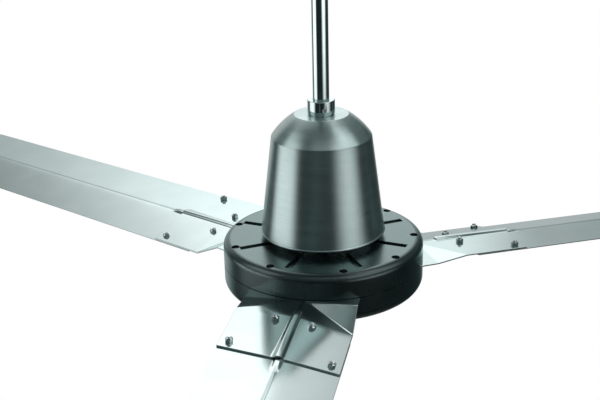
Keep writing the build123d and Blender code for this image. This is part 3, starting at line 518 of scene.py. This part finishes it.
facing = put(fasten, "ShaderNodeCombineXYZ", {2: turn})
turned = put(fasten, "FunctionNodeRotateRotation", {0: stand.outputs[0], 1: facing.outputs[0]},
             rotation_space="LOCAL")
spots = put(fasten, "GeometryNodeMeshToPoints", {"Mesh": given["Spots"]})
many = put(fasten, "GeometryNodeInstanceOnPoints", {
    "Points": spots.outputs[0], "Instance": one.outputs["Geometry"], "Rotation": turned.outputs[0]})
real = put(fasten, "GeometryNodeRealizeInstances", {"Geometry": many.outputs[0]})
finished = put(fasten, "GeometryNodeSetMaterial", {"Geometry": real.outputs[0], "Material": given["Finish"]})
fasten.links.new(finished.outputs[0], fasten.nodes.new("NodeGroupOutput").inputs[0])


def spot_mesh(name, spots):
    # Loose points, each with the direction that its fastener stands in and its own turn about it
    mesh = bpy.data.meshes.new(name)
    mesh.from_pydata([place for place, stand, turn in spots], [], [])
    mesh.attributes.new("stand", "FLOAT_VECTOR", "POINT")
    mesh.attributes.new("turn", "FLOAT", "POINT")
    for k, (place, stand, turn) in enumerate(spots):
        mesh.attributes["stand"].data[k].vector = stand
        mesh.attributes["turn"].data[k].value = turn
    return mesh


def set_out(name, source, spots, finish, loose_turn=0.0, seed=0):
    # Copies of one pattern at all spots, as one plain mesh; the pattern is thrown away
    held = into_scene(name + "_pattern", source)
    values = {"Fastener": held, "Loose Turn": loose_turn, "Seed": seed, "Finish": finish}
    piece = run_tool(name, fasten, spot_mesh("spots", spots), values, fastener_sharp)
    bpy.data.objects.remove(held)
    return piece


def rim_steps():
    # Offsets and depths of a quarter round that rolls a hole's edge over
    steps = [(-0.0001, -rim_depth)]
    for a in (0, 20, 40, 60, 78):
        out = rim_round * (1 - math.cos(math.radians(a)))
        steps.append((out, -rim_round * (1 - math.sin(math.radians(a)))))
    return steps + [(steps[-1][0], tool_top)]


def groove_tool():
    # A bar along X with rolled edges, as wide and as long as the groove
    rows = []
    middle = sum(groove_ends) / 2
    half_length = (groove_ends[1] - groove_ends[0]) / 2
    for side_x, side_y in ((1, 1), (-1, 1), (-1, -1), (1, -1)):
        row = [(middle + side_x * (half_length + out), side_y * (groove_half + out), deep)
               for out, deep in rim_steps()]
        rows.append([(middle, 0, -rim_depth)] + row + [(middle, 0, tool_top)])
    return cleaned(ring_mesh("groove_tool", rows))


def bore_tool():
    # A round plug with rolled edges, as wide as a screw's well
    outline = [(well_radius + out, deep) for out, deep in rim_steps()]
    return spun("bore_tool", [(0, -rim_depth)] + outline + [(0, tool_top)], 40)


def painted_half(node, tools):
    # A copy of a housing half with the tools taken out of it
    block = into_scene(node + "_block", node_mesh(node))
    for tool in tools:
        step = block.modifiers.new("cut", "BOOLEAN")
        step.operation = "DIFFERENCE"
        step.solver = "EXACT"
        step.object = tool
    piece = show(node + "_painted", settled(block), node_sharp)
    piece.modifiers.new("even_shading", "WEIGHTED_NORMAL").keep_sharp = True
    fit(piece, paint, "rotor", "black_paint", node)


def round_spots(radius, angles, z):
    # Upright places on a circle, each turned to face outwards
    turns = [math.radians(a) for a in angles]
    return [((radius * math.cos(turn), radius * math.sin(turn), z), (0, 0, 1), turn) for turn in turns]


paint, tree, shader = new_finish("satin_black_paint", 0, IOR=1.6, Coat_Weight=1, Coat_IOR=1.6,
                                 Coat_Roughness=0.26, Coat_Tint=(0.6, 1, 1, 1))
skin = put(tree, "ShaderNodeGroup", {"Size": 0.03, "Grit": 0.0007}, node_tree=blotches)
tint(tree, shader, skin.outputs["Blotch"], paint_dark, paint_light)
shine(tree, shader, skin.outputs["Blotch"], 0.24, 0.3)
relief(tree, shader, skin.outputs["Grit"], 0.08, 0.00015)
# Lighter paint edges: partly worn paint, partly a painted highlight along the wells, grooves and seam
worn_and_highlit(tree, shader, (0.12, 0.135, 0.135, 1), 0.2, Reach=0.0006, Patch=0.004, Amount=0.5)

wells = set_out("well_rims", bore_tool(), round_spots(screw_circle, screw_angles, housing_top_z), paint)
grooves = set_out("groove_rims", groove_tool(), round_spots(0, groove_angles, housing_top_z), paint)
seam_line = show("seam_line", spun("seam_line", lift(seam_outline, seam_z), 240))
painted_half("upper_housing", (wells, grooves, seam_line))
painted_half("lower_housing", (seam_line,))
for tool in (wells, grooves, seam_line):
    bpy.data.objects.remove(tool)


def hexagon(flats, angle):
    # From the middle of a hexagon to its side, in one direction
    from_flat = (angle + math.pi / 6) % (math.pi / 3) - math.pi / 6
    return flats / 2 / math.cos(from_flat)


def socket_screw_mesh(head_d, head_height, shank_d, length, key):
    # Knurled head with a hexagon socket, standing on z = 0, and a shank below it
    steps = 48
    rows = []
    for k in range(steps):
        angle = 2 * math.pi * k / steps
        knurl = 0.00012 if k % 2 else 0.0
        socket = hexagon(key, angle)
        outer = head_d / 2 - knurl
        levels = ((0, head_height * 0.4), (socket, head_height * 0.42), (socket, head_height * 0.94),
                  (socket + 0.0002, head_height), (head_d / 2 - 0.0005, head_height),
                  (outer, head_height - 0.0005), (outer, head_height * 0.12), (head_d / 2 - 0.0004, 0),
                  (shank_d / 2, 0), (shank_d / 2, 0.0005 - length), (shank_d / 2 - 0.0005, -length),
                  (0, -length))
        rows.append(around(angle, levels))
    return cleaned(ring_mesh("socket_screw", rows))


socket_screw = socket_screw_mesh(head_d=0.0082, head_height=0.004, shank_d=0.005, length=0.04, key=0.004)
screws = set_out("housing_socket_screws", socket_screw,
                 round_spots(screw_circle, screw_angles, screw_head_z), bright_steel, loose_turn=1.0, seed=3)
fit(screws, bright_steel, "rotor", "screw_steel", "housing_screws")
dress(plastic, "bottom_cap")

# Blade brackets: 2 mm stainless plates, flat where the housing clamps them, then folded along two slanting
# lines to the blade's pitch, with a bead pressed along the middle. A flat blank goes through the press.

plate_wall = 0.002
blade_angles = (-90, 30, 150)
sheet_sharp = 50
fine_half = 0.008
fine_step = 0.0005
plate_bead_start = 0.145
no_bead_end = 9.0
spread_span = (plate_bead_start, 0.245)
press_sizes = {
    "Flat End": 0.1222, "Bend End": 0.161, "Trailing Width": 0.0615, "Leading Width": 0.067,
    "Trailing Fall": math.tan(math.radians(16.6)), "Leading Rise": math.tan(math.radians(4.4)),
    "Droop": math.tan(math.radians(1.6)), "Crease Round": 0.003, "Fold Round": 0.0006, "Bend Round": 0.003,
    "Bead Height": 0.0026, "Bead Foot": 0.0055, "Bead Top": 0.0018, "Bead Spread": 0.003, "Start Ease": 0.004,
    "End Ease": 0.014}

press = bpy.data.node_groups.new("sheet_press", "GeometryNodeTree")
press.interface.new_socket("Blank", in_out="INPUT", socket_type="NodeSocketGeometry")
for label in list(press_sizes) + ["Bead Start", "Bead End", "Level", "Wall", "Turn"]:
    press.interface.new_socket(label, in_out="INPUT", socket_type="NodeSocketFloat")
press.interface.new_socket("Finish", in_out="INPUT", socket_type="NodeSocketMaterial")
press.interface.new_socket("Pressed", in_out="OUTPUT", socket_type="NodeSocketGeometry")
given = press.nodes.new("NodeGroupInput").outputs
part = put(press, "ShaderNodeSeparateXYZ", {0: put(press, "GeometryNodeInputPosition").outputs[0]}).outputs
reach, across = part["X"], part["Y"]
off = work(press, "SUBTRACT", diagonal(press, across, given["Crease Round"]), given["Crease Round"])
behind = put(press, "FunctionNodeCompare", {0: across, 1: 0.0}, data_type="FLOAT", operation="GREATER_THAN")


def by_side(leading, trailing):
    # One value for the leading side of the crease and another for the trailing side
    sides = {0: behind.outputs[0], 1: leading, 2: trailing}
    return put(press, "GeometryNodeSwitch", sides, input_type="FLOAT").outputs[0]


width = by_side(given["Leading Width"], given["Trailing Width"])
slope = by_side(given["Leading Rise"], work(press, "MULTIPLY", given["Trailing Fall"], -1))
share = remap(press, reach, given["Flat End"], given["Bend End"], clamp=False)
opened = work(press, "SMOOTH_MAX", work(press, "MULTIPLY", width, share), 0, given["Bend Round"])
folded = work(press, "SMOOTH_MIN", off, opened, given["Fold Round"])
bend = work(press, "MULTIPLY", slope, work(press, "MAXIMUM", folded, 0))
past = work(press, "MAXIMUM", work(press, "SUBTRACT", reach, given["Bend End"]), 0)
sag = work(press, "MULTIPLY", work(press, "MULTIPLY", past, given["Droop"]), -1)
spread = remap(press, reach, *spread_span, 0, given["Bead Spread"])
foot = by_side(work(press, "ADD", given["Bead Foot"], spread), given["Bead Foot"])
ridge = remap(press, work(press, "ABSOLUTE", across), given["Bead Top"], foot, 1, 0, how="SMOOTHSTEP")
beaded = 1
for end, ease, low, high in (("Bead Start", "Start Ease", 0, 1), ("Bead End", "End Ease", 1, 0)):
    stop_end = work(press, "ADD", given[end], given[ease])
    stop = remap(press, reach, given[end], stop_end, low, high, how="SMOOTHSTEP")
    beaded = work(press, "MULTIPLY", beaded, stop)
ridge = work(press, "MULTIPLY", ridge, beaded)
raised = work(press, "MULTIPLY", ridge, work(press, "SUBTRACT", given["Bead Height"], bend))
height = work(press, "ADD", work(press, "ADD", bend, raised), work(press, "ADD", sag, given["Level"]))
underside = work(press, "SUBTRACT", height, given["Wall"])
lower = put(press, "ShaderNodeCombineXYZ", {0: reach, 1: across, 2: underside})
flat = put(press, "ShaderNodeCombineXYZ", {0: reach, 1: across, 2: work(press, "SUBTRACT", 1, beaded)})
noted = put(press, "GeometryNodeStoreNamedAttribute", {
    "Geometry": given["Blank"], "Name": "sheet", "Value": flat.outputs[0]}, data_type="FLOAT_VECTOR")
under = put(press, "GeometryNodeSetPosition", {"Geometry": noted.outputs[0], "Position": lower.outputs[0]})
up = put(press, "ShaderNodeCombineXYZ", {2: 1.0})
top = put(press, "GeometryNodeExtrudeMesh", {
    "Mesh": under.outputs[0], "Offset": up.outputs[0], "Offset Scale": given["Wall"], "Individual": False},
          mode="FACES")
turned_over = put(press, "GeometryNodeFlipFaces", {"Mesh": under.outputs[0]})
both = put(press, "GeometryNodeJoinGeometry")
press.links.new(top.outputs["Mesh"], both.inputs[0])
press.links.new(turned_over.outputs[0], both.inputs[0])
sheet = put(press, "GeometryNodeMergeByDistance", {"Geometry": both.outputs[0], "Distance": 0.000001})
facing = put(press, "ShaderNodeCombineXYZ", {2: given["Turn"]})
placed = put(press, "GeometryNodeTransform", {"Geometry": sheet.outputs[0], "Rotation": facing.outputs[0]})
real = put(press, "GeometryNodeRealizeInstances", {"Geometry": placed.outputs[0]})
finished = put(press, "GeometryNodeSetMaterial", {"Geometry": real.outputs[0], "Material": given["Finish"]})
press.links.new(finished.outputs[0], press.nodes.new("NodeGroupOutput").inputs[0])


def spaced(low, high, step):
    count = max(1, round((high - low) / step))
    return [low + (high - low) * n / count for n in range(count + 1)]


def blank_sheet(name, reaches, limits, side_steps, cut=lambda reach, across: reach):
    # A flat grid: one row for each reach, from limits(reach) on one side of the crease to the other
    middle = spaced(-fine_half, fine_half, fine_step)
    mesh = bpy.data.meshes.new(name)
    points, faces = [], []
    for reach in reaches:
        low, high = limits(reach)
        row = spaced(low, -fine_half, (-fine_half - low) / side_steps)[:-1] + middle
        row += spaced(fine_half, high, (high - fine_half) / side_steps)[1:]
        points += [(cut(reach, v), v, 0) for v in row]
    columns = len(points) // len(reaches)
    for n in range(len(reaches) - 1):
        for m in range(columns - 1):
            first = n * columns + m
            faces.append((first, first + columns, first + columns + 1, first + 1))
    mesh.from_pydata(points, [], faces)
    return mesh


brush_stretch = (6, 900, 0)
wave_count = 9
crease_shade_span = (0.0004, 0.0022)

polished_sheet, tree, shader = new_finish("polished_stainless_sheet", 1, Specular_Tint=(0.92, 1, 1, 1))
along_sheet = put(tree, "ShaderNodeAttribute", attribute_name="sheet").outputs["Vector"]
part = put(tree, "ShaderNodeSeparateXYZ", {0: along_sheet}).outputs
stretched = put(tree, "ShaderNodeMapping", {"Vector": along_sheet, "Scale": brush_stretch})
lines = put(tree, "ShaderNodeTexNoise", {"Vector": stretched.outputs[0], "Scale": 1, "Detail": 2}).outputs[0]
wavy = put(tree, "ShaderNodeTexNoise", {"Vector": along_sheet, "Scale": wave_count, "Detail": 1}).outputs[0]
skin = put(tree, "ShaderNodeGroup", {"Size": 0.05, "Grit": 0.0006}, node_tree=blotches)
# Painted shade: the colour darkens in a band along the crease where it has no bead
crease_shade = remap(tree, work(tree, "ABSOLUTE", part["Y"]), *crease_shade_span, 1, 0)
crease_shade = work(tree, "MULTIPLY", crease_shade, part["Z"])
blotch_and_crease_shade = work(tree, "SUBTRACT", work(tree, "MULTIPLY_ADD", skin.outputs["Blotch"], 0.12, 0.88),
             work(tree, "MULTIPLY", crease_shade, 0.7))
tint(tree, shader, blotch_and_crease_shade, (0.24, 0.3, 0.3, 1), (0.585, 0.68, 0.675, 1))
shine(tree, shader, lines, 0.1, 0.16)
fine = put(tree, "ShaderNodeBump", {"Height": lines, "Strength": 0.05, "Distance": 0.0001})
broad = put(tree, "ShaderNodeBump", {"Height": wavy, "Strength": 0.012, "Distance": 0.002,
                                     "Normal": fine.outputs[0]})
tree.links.new(broad.outputs[0], shader.inputs["Normal"])
worn_and_highlit(tree, shader, (0.68, 0.77, 0.765, 1), 0.16, Reach=0.0005, Amount=0.6)

plate_root = 0.092
plate_end = 0.2475
plate_row = 0.0012
plate_side_steps = 44
plate_edge = 0.0006
sweep_start = 0.21
end_sweep = 0.0075


def plate_limits(reach):
    return -press_sizes["Leading Width"], press_sizes["Trailing Width"]


def swept_end(reach, across):
    # The far edge runs back from the crease to both corners
    width = press_sizes["Trailing Width"] if across > 0 else press_sizes["Leading Width"]
    share = max(0.0, (reach - sweep_start) / (plate_end - sweep_start))
    return reach - share * end_sweep * abs(across) / width


for number, angle in enumerate(blade_angles, 1):
    plate_rows = spaced(plate_root, plate_end, plate_row)
    blank = blank_sheet("plate_blank", plate_rows, plate_limits, plate_side_steps, swept_end)
    values = {**press_sizes, "Bead Start": plate_bead_start, "Bead End": no_bead_end, "Level": seam_z,
              "Wall": plate_wall, "Turn": math.radians(angle), "Finish": polished_sheet}
    bracket = run_tool(f"bracket_plate_{number}", press, blank, values)
    break_edges(bracket, plate_edge, sheet_sharp)
    fit(bracket, polished_sheet, "rotor", "polished_steel", f"blade_bracket_{number}")

# Blades: 1.2 mm stainless sheet, bent along the same crease as the bracket above it and screwed under it. The
# bead runs on a little past the bracket's end, the root corners are cut back and the tip corners rounded.

blade_wall = 0.0012
blade_edge = 0.0002
blade_side_steps = 20
bead_sizes = {"Bead Start": 0.1, "Bead End": 0.253, "Bead Height": 0.0018, "Bead Spread": 0.0,
              "End Ease": 0.016}
sheet_gap = 0.00005
root_reach = 0.1645
tip_reach = 0.8
tip_round = 0.018
root_half = 0.033
root_cut = 0.011
near_row = 0.0022
near_end = 0.27
far_span = (0.3, 0.76)
far_row = 0.046

blade_rows = spaced(root_reach, root_reach + root_cut, near_row)
blade_rows += spaced(root_reach + root_cut + near_row, near_end, near_row) + spaced(*far_span, far_row)
blade_rows += [tip_reach - tip_round * (1 - math.sin(math.radians(a))) for a in range(0, 91, 9)]


def blade_limits(reach):
    low, high = plate_limits(reach)
    if reach < root_reach + root_cut:
        part_cut = (reach - root_reach) / root_cut
        return -root_half + (low + root_half) * part_cut, root_half + (high - root_half) * part_cut
    over = max(0.0, min(tip_round, reach - (tip_reach - tip_round)))
    corner = tip_round - math.sqrt(max(0.0, tip_round ** 2 - over ** 2))
    return low + corner, high - corner


for number, angle in enumerate(blade_angles, 1):
    blank = blank_sheet("blade_blank", blade_rows, blade_limits, blade_side_steps)
    values = {**press_sizes, **bead_sizes, "Level": seam_z - plate_wall - sheet_gap, "Wall": blade_wall,
              "Turn": math.radians(angle), "Finish": polished_sheet}
    blade = run_tool(f"blade_sheet_{number}", press, blank, values)
    break_edges(blade, blade_edge, sheet_sharp)
    fit(blade, polished_sheet, "rotor", "polished_steel", f"blade_{number}")

# Blade screws and nuts: four M5 screws from below go through blade and bracket, square to the bent sheet, and
# chamfered hexagon nuts on top hold them. The nuts stop at whatever angle they reach when they are tight.

nut_flats = 0.008
nut_height = 0.004
screw_d = 0.005
thread_pitch = 0.0008
thread_end = 0.002
head_d = 0.0095
head_height = 0.0028
any_turn = 6.28
screw_spots = ((0.172, -0.02077), (0.172, 0.01907), (0.229, -0.0563), (0.229, 0.0508))


def nut_mesh():
    # A hexagon cut back by a steep cone above and by a faint one below, with a countersunk hole
    steps = 48
    rim = nut_flats / 2 * 0.82
    foot = nut_flats / 2 * 0.97
    bore = screw_d / 2
    rows = []
    for k in range(steps):
        angle = 2 * math.pi * k / steps
        edge = hexagon(nut_flats, angle)
        low = (edge - foot) * math.tan(math.radians(30))
        high = nut_height - (edge - rim) * math.tan(math.radians(38))
        levels = ((bore, 0.0004), (bore * 1.12, 0), (foot, 0), (edge, low), (edge, high),
                  (rim, nut_height), (bore * 1.12, nut_height), (bore, nut_height - 0.0004))
        rows.append(around(angle, levels))
    return ring_mesh("hexagon_nut", rows)


def screw_mesh():
    # Pan head below, shank through the sheets and a threaded end that stands out of the nut
    sheets = plate_wall + blade_wall
    outline = [(0, -sheets - head_height), (head_d * 0.25, -sheets - head_height),
               (head_d * 0.42, -sheets - head_height * 0.86), (head_d * 0.5, -sheets - head_height * 0.35),
               (head_d * 0.5, -sheets), (screw_d * 0.5, -sheets), (screw_d * 0.5, nut_height - thread_pitch)]
    z = nut_height - thread_pitch
    while z < nut_height + thread_end - thread_pitch:
        outline += [(screw_d * 0.42, z + thread_pitch * 0.5), (screw_d * 0.5, z + thread_pitch)]
        z += thread_pitch
    outline += [(screw_d * 0.4, nut_height + thread_end), (0, nut_height + thread_end)]
    return spun("blade_screw_pattern", outline, 40)


def blade_spots(angle):
    spots = []
    turn = Matrix.Rotation(math.radians(angle), 3, "Z")
    for reach, across in screw_spots:
        rise = press_sizes["Trailing Fall"] if across > 0 else press_sizes["Leading Rise"]
        level = seam_z - rise * across - press_sizes["Droop"] * (reach - press_sizes["Bend End"])
        stand = Vector((press_sizes["Droop"], rise, 1)).normalized()
        spots.append((turn @ Vector((reach, across, level)), turn @ stand, 0.0))
    return spots


for number, angle in enumerate(blade_angles, 1):
    for kind, source in (("nuts", nut_mesh()), ("screws", screw_mesh())):
        piece = set_out(f"blade_{kind}_set_{number}", source, blade_spots(angle), bright_steel,
                        loose_turn=any_turn, seed=number)
        fit(piece, bright_steel, "rotor", "screw_steel", f"blade_{kind}_{number}")

# Studio: a pale floor far below the hanging fan, a low and a high soft box on the left and on the right of
# the camera, soft lights overhead on the right and in front, and behind and above the fan a bright, soft
# field, which the blades mirror.

camera_place = Vector((0.22559, -1.17617, -0.05372))
camera_heading = math.radians(102.1383)
camera_pitch = math.radians(-21.1043)
camera_roll = math.radians(-1.32)
camera_lens = 64.772
camera_sensor = 36
floor_z = -3.4
floor_radius = 4.0
floor_edge = (1.2, floor_radius * 0.95)
floor_grey = 0.8
mirrored_grey = 0.16
floor_glow = 0.35

floor_mesh = bpy.data.meshes.new("studio_floor")
bm = bmesh.new()
bmesh.ops.create_circle(bm, cap_ends=True, segments=96, radius=floor_radius)
bmesh.ops.translate(bm, verts=bm.verts, vec=(0, 0, floor_z))
bm.to_mesh(floor_mesh)
bm.free()
floor = into_scene("studio_floor", floor_mesh)
floor_paint = bpy.data.materials.new("pale_floor")
floor_paint.use_nodes = True
tree = floor_paint.node_tree
tree.nodes.clear()
rays = put(tree, "ShaderNodeLightPath").outputs
place = put(tree, "ShaderNodeTexCoord").outputs["Object"]
part = put(tree, "ShaderNodeSeparateXYZ", {0: place}).outputs
radius = diagonal(tree, part["X"], part["Y"])
edge = remap(tree, radius, *floor_edge, how="SMOOTHSTEP")
darker = work(tree, "MULTIPLY", rays["Is Glossy Ray"], floor_grey - mirrored_grey)
shade = work(tree, "SUBTRACT", floor_grey, darker)
shade = put(tree, "ShaderNodeCombineColor", {0: shade, 1: shade, 2: shade}).outputs[0]
grey = put(tree, "ShaderNodeBsdfDiffuse", {"Color": shade})
seen = work(tree, "MULTIPLY", rays["Is Camera Ray"], floor_glow)
glow = put(tree, "ShaderNodeEmission", {"Color": (1, 1, 1, 1), "Strength": seen})
lit = put(tree, "ShaderNodeAddShader", {0: grey.outputs[0], 1: glow.outputs[0]})
clear = put(tree, "ShaderNodeBsdfTransparent")
open_edge = put(tree, "ShaderNodeMixShader", {0: edge, 1: lit.outputs[0], 2: clear.outputs[0]})
below = put(tree, "ShaderNodeNewGeometry").outputs["Backfacing"]
one_sided = put(tree, "ShaderNodeMixShader", {0: below, 1: open_edge.outputs[0], 2: clear.outputs[0]})
tree.links.new(one_sided.outputs[0], put(tree, "ShaderNodeOutputMaterial").inputs[0])
floor_mesh.materials.append(floor_paint)

world = bpy.data.worlds.new("studio_field")
bpy.context.scene.world = world
world.use_nodes = True
tree = world.node_tree
tree.nodes.clear()
rays = put(tree, "ShaderNodeLightPath").outputs
direction = put(tree, "ShaderNodeTexCoord").outputs["Generated"]
field_height = math.radians(42)
field_turn = math.radians(2)
field_stretch = 0.85
field_stops = ((4, 1.8), (11, 1.62), (15, 1.5), (17, 1.4), (19, 1.13), (21, 0.92), (23, 0.74), (25.5, 0.54),
               (29, 0.36), (34, 0.2), (42, 0.1), (60, 0.05), (120, 0.02))
low_height = math.radians(13)
low_turn = math.radians(3)
low_level = 1.25
low_span = (math.radians(5), math.radians(13))
sky_level = 0.16
sky_spans = ((0.0, 0.3), (0.95, 0.8))
sweep_level = 0.55
sweep_turn = math.radians(12)
sweep_aside = (math.radians(22), math.radians(48))
sweep_foot = (-0.7, -0.35)
sweep_head = (0.35, 0.7)
diffuse_level = 0.55
seen_level = 1.0
dark_field = (0.7, 1.0, 0.98, 1)
bright_field = (1.0, 1.0, 1.0, 1)
level_ahead = Vector((math.cos(camera_heading), math.sin(camera_heading), 0))
beside = Vector((math.sin(camera_heading), -math.cos(camera_heading), 0))
across, ahead, high = [
    put(tree, "ShaderNodeVectorMath", {0: direction, 1: axis}, operation="DOT_PRODUCT").outputs["Value"]
    for axis in (beside, level_ahead, Vector((0, 0, 1)))]
heading = work(tree, "ARCTAN2", across, ahead)
climb = work(tree, "ARCSINE", high)
aside = work(tree, "MULTIPLY", work(tree, "ADD", heading, field_turn), work(tree, "COSINE", climb))
above = work(tree, "MULTIPLY", work(tree, "SUBTRACT", climb, field_height), field_stretch)
apart = work(tree, "DIVIDE", diagonal(tree, aside, above), math.pi)
field = put(tree, "ShaderNodeValToRGB", {"Fac": apart})
ramp = field.color_ramp
for angle, level in field_stops:
    stop = ramp.elements.new(angle / 180)
    stop.color = (level / 2, level / 2, level / 2, 1)
ramp.elements.remove(ramp.elements[0])
ramp.elements.remove(ramp.elements[-1])
patch = work(tree, "MULTIPLY", field.outputs[0], 2)
low_aside = work(tree, "SUBTRACT", heading, low_turn)
low_above = work(tree, "SUBTRACT", climb, low_height)
low_apart = diagonal(tree, low_aside, low_above)
low_patch = remap(tree, low_apart, *low_span, low_level, 0, how="SMOOTHSTEP")
heading = work(tree, "ABSOLUTE", work(tree, "ADD", heading, sweep_turn))
sweep = sweep_level
for value, span, start, end in ((heading, sweep_aside, 1, 0), (high, sweep_foot, 0, 1),
                                (high, sweep_head, 1, 0)):
    sweep = work(tree, "MULTIPLY", remap(tree, value, *span, start, end, how="SMOOTHSTEP"), sweep)
sky = sky_level
for span in sky_spans:
    sky = work(tree, "MULTIPLY", remap(tree, high, *span, how="SMOOTHSTEP"), sky)
lobe = work(tree, "MAXIMUM", work(tree, "MAXIMUM", patch, low_patch), work(tree, "MAXIMUM", sweep, sky))
soft = put(tree, "ShaderNodeMix", {"Factor": rays["Is Diffuse Ray"], 2: lobe, 3: diffuse_level},
           data_type="FLOAT").outputs[0]
strength = put(tree, "ShaderNodeMix", {"Factor": rays["Is Camera Ray"], 2: soft, 3: seen_level},
               data_type="FLOAT").outputs[0]
hue = remap(tree, strength, 0, 0.5)
field_hue = put(tree, "ShaderNodeMix", {"Factor": hue, 6: dark_field, 7: bright_field}, data_type="RGBA")
background = put(tree, "ShaderNodeBackground", {"Color": field_hue.outputs[2], "Strength": strength})
tree.links.new(background.outputs[0], put(tree, "ShaderNodeOutputWorld").inputs[0])


def soft_box(name, azimuth, distance, height, wide, tall, level, aim_z, side_fade, foot_fade, foot_share=0):
    # A soft box at an angle to the right of the camera, as seen from the fan's axis, aimed at a point on it.
    # Its cloth is brightest in the middle, fades to both sides and falls to a share of its level at the foot.
    heading = camera_heading + math.pi + math.radians(azimuth)
    lamp = bpy.data.lights.new(name, "AREA")
    lamp.shape = "RECTANGLE"
    lamp.size = wide
    lamp.size_y = tall
    lamp.energy = level * math.pi * wide * tall
    lamp.use_nodes = True
    tree = lamp.node_tree
    spot = put(tree, "ShaderNodeNewGeometry").outputs["Parametric"]
    cloth = put(tree, "ShaderNodeSeparateXYZ", {0: spot}).outputs
    middle = work(tree, "SUBTRACT", 1, work(tree, "ABSOLUTE", work(tree, "MULTIPLY_ADD", cloth["X"], 2, -1)))
    glow = 1
    for place, reach, least in ((middle, side_fade, 0), (cloth["Y"], foot_fade, foot_share)):
        glow = work(tree, "MULTIPLY", remap(tree, place, 0, reach, least, how="SMOOTHSTEP"), glow)
    tree.links.new(glow, tree.nodes["Emission"].inputs["Strength"])
    box = into_scene(name, lamp)
    box.location = (distance * math.cos(heading), distance * math.sin(heading), height)
    box.rotation_euler = (Vector((0, 0, aim_z)) - box.location).to_track_quat("-Z", "Y").to_euler()
    box.visible_camera = False


soft_box("left_box", azimuth=-82, distance=1.6, height=-0.9, wide=2.2, tall=0.9, level=1.75,
         aim_z=-0.9, side_fade=0.65, foot_fade=1.0, foot_share=0.35)
soft_box("right_box", azimuth=52, distance=1.6, height=-0.74, wide=2.3, tall=0.58, level=1.85,
         aim_z=-0.74, side_fade=0.95, foot_fade=1.0, foot_share=0.3)
soft_box("overhead_right", azimuth=80, distance=0.8, height=0.8, wide=0.75, tall=0.75, level=1.05,
         aim_z=-0.43, side_fade=0.9, foot_fade=0.5)
soft_box("left_high", azimuth=-80, distance=1.6, height=0.4, wide=1.5, tall=1.2, level=0.95,
         aim_z=-0.5, side_fade=0.4, foot_fade=0.3)
soft_box("right_high", azimuth=62, distance=1.6, height=0.7, wide=2.6, tall=1.4, level=0.9,
         aim_z=-0.5, side_fade=0.4, foot_fade=0.3)
soft_box("overhead_front", azimuth=0, distance=1.5, height=1.1, wide=2.0, tall=1.2, level=0.24,
         aim_z=-0.5, side_fade=0.5, foot_fade=0.4)

lens = bpy.data.cameras.new("photo_camera")
lens.lens = camera_lens
lens.sensor_width = camera_sensor
camera = into_scene("photo_camera", lens)
forward = Vector((math.cos(camera_heading) * math.cos(camera_pitch),
                  math.sin(camera_heading) * math.cos(camera_pitch), math.sin(camera_pitch)))
level_up = beside.cross(forward)
right = beside * math.cos(camera_roll) + level_up * math.sin(camera_roll)
up = level_up * math.cos(camera_roll) - beside * math.sin(camera_roll)
turn = Matrix((right, up, -forward)).transposed().to_4x4()
camera.matrix_world = Matrix.Translation(camera_place) @ turn
bpy.context.scene.camera = camera
bpy.context.scene.view_settings.view_transform = "Standard"
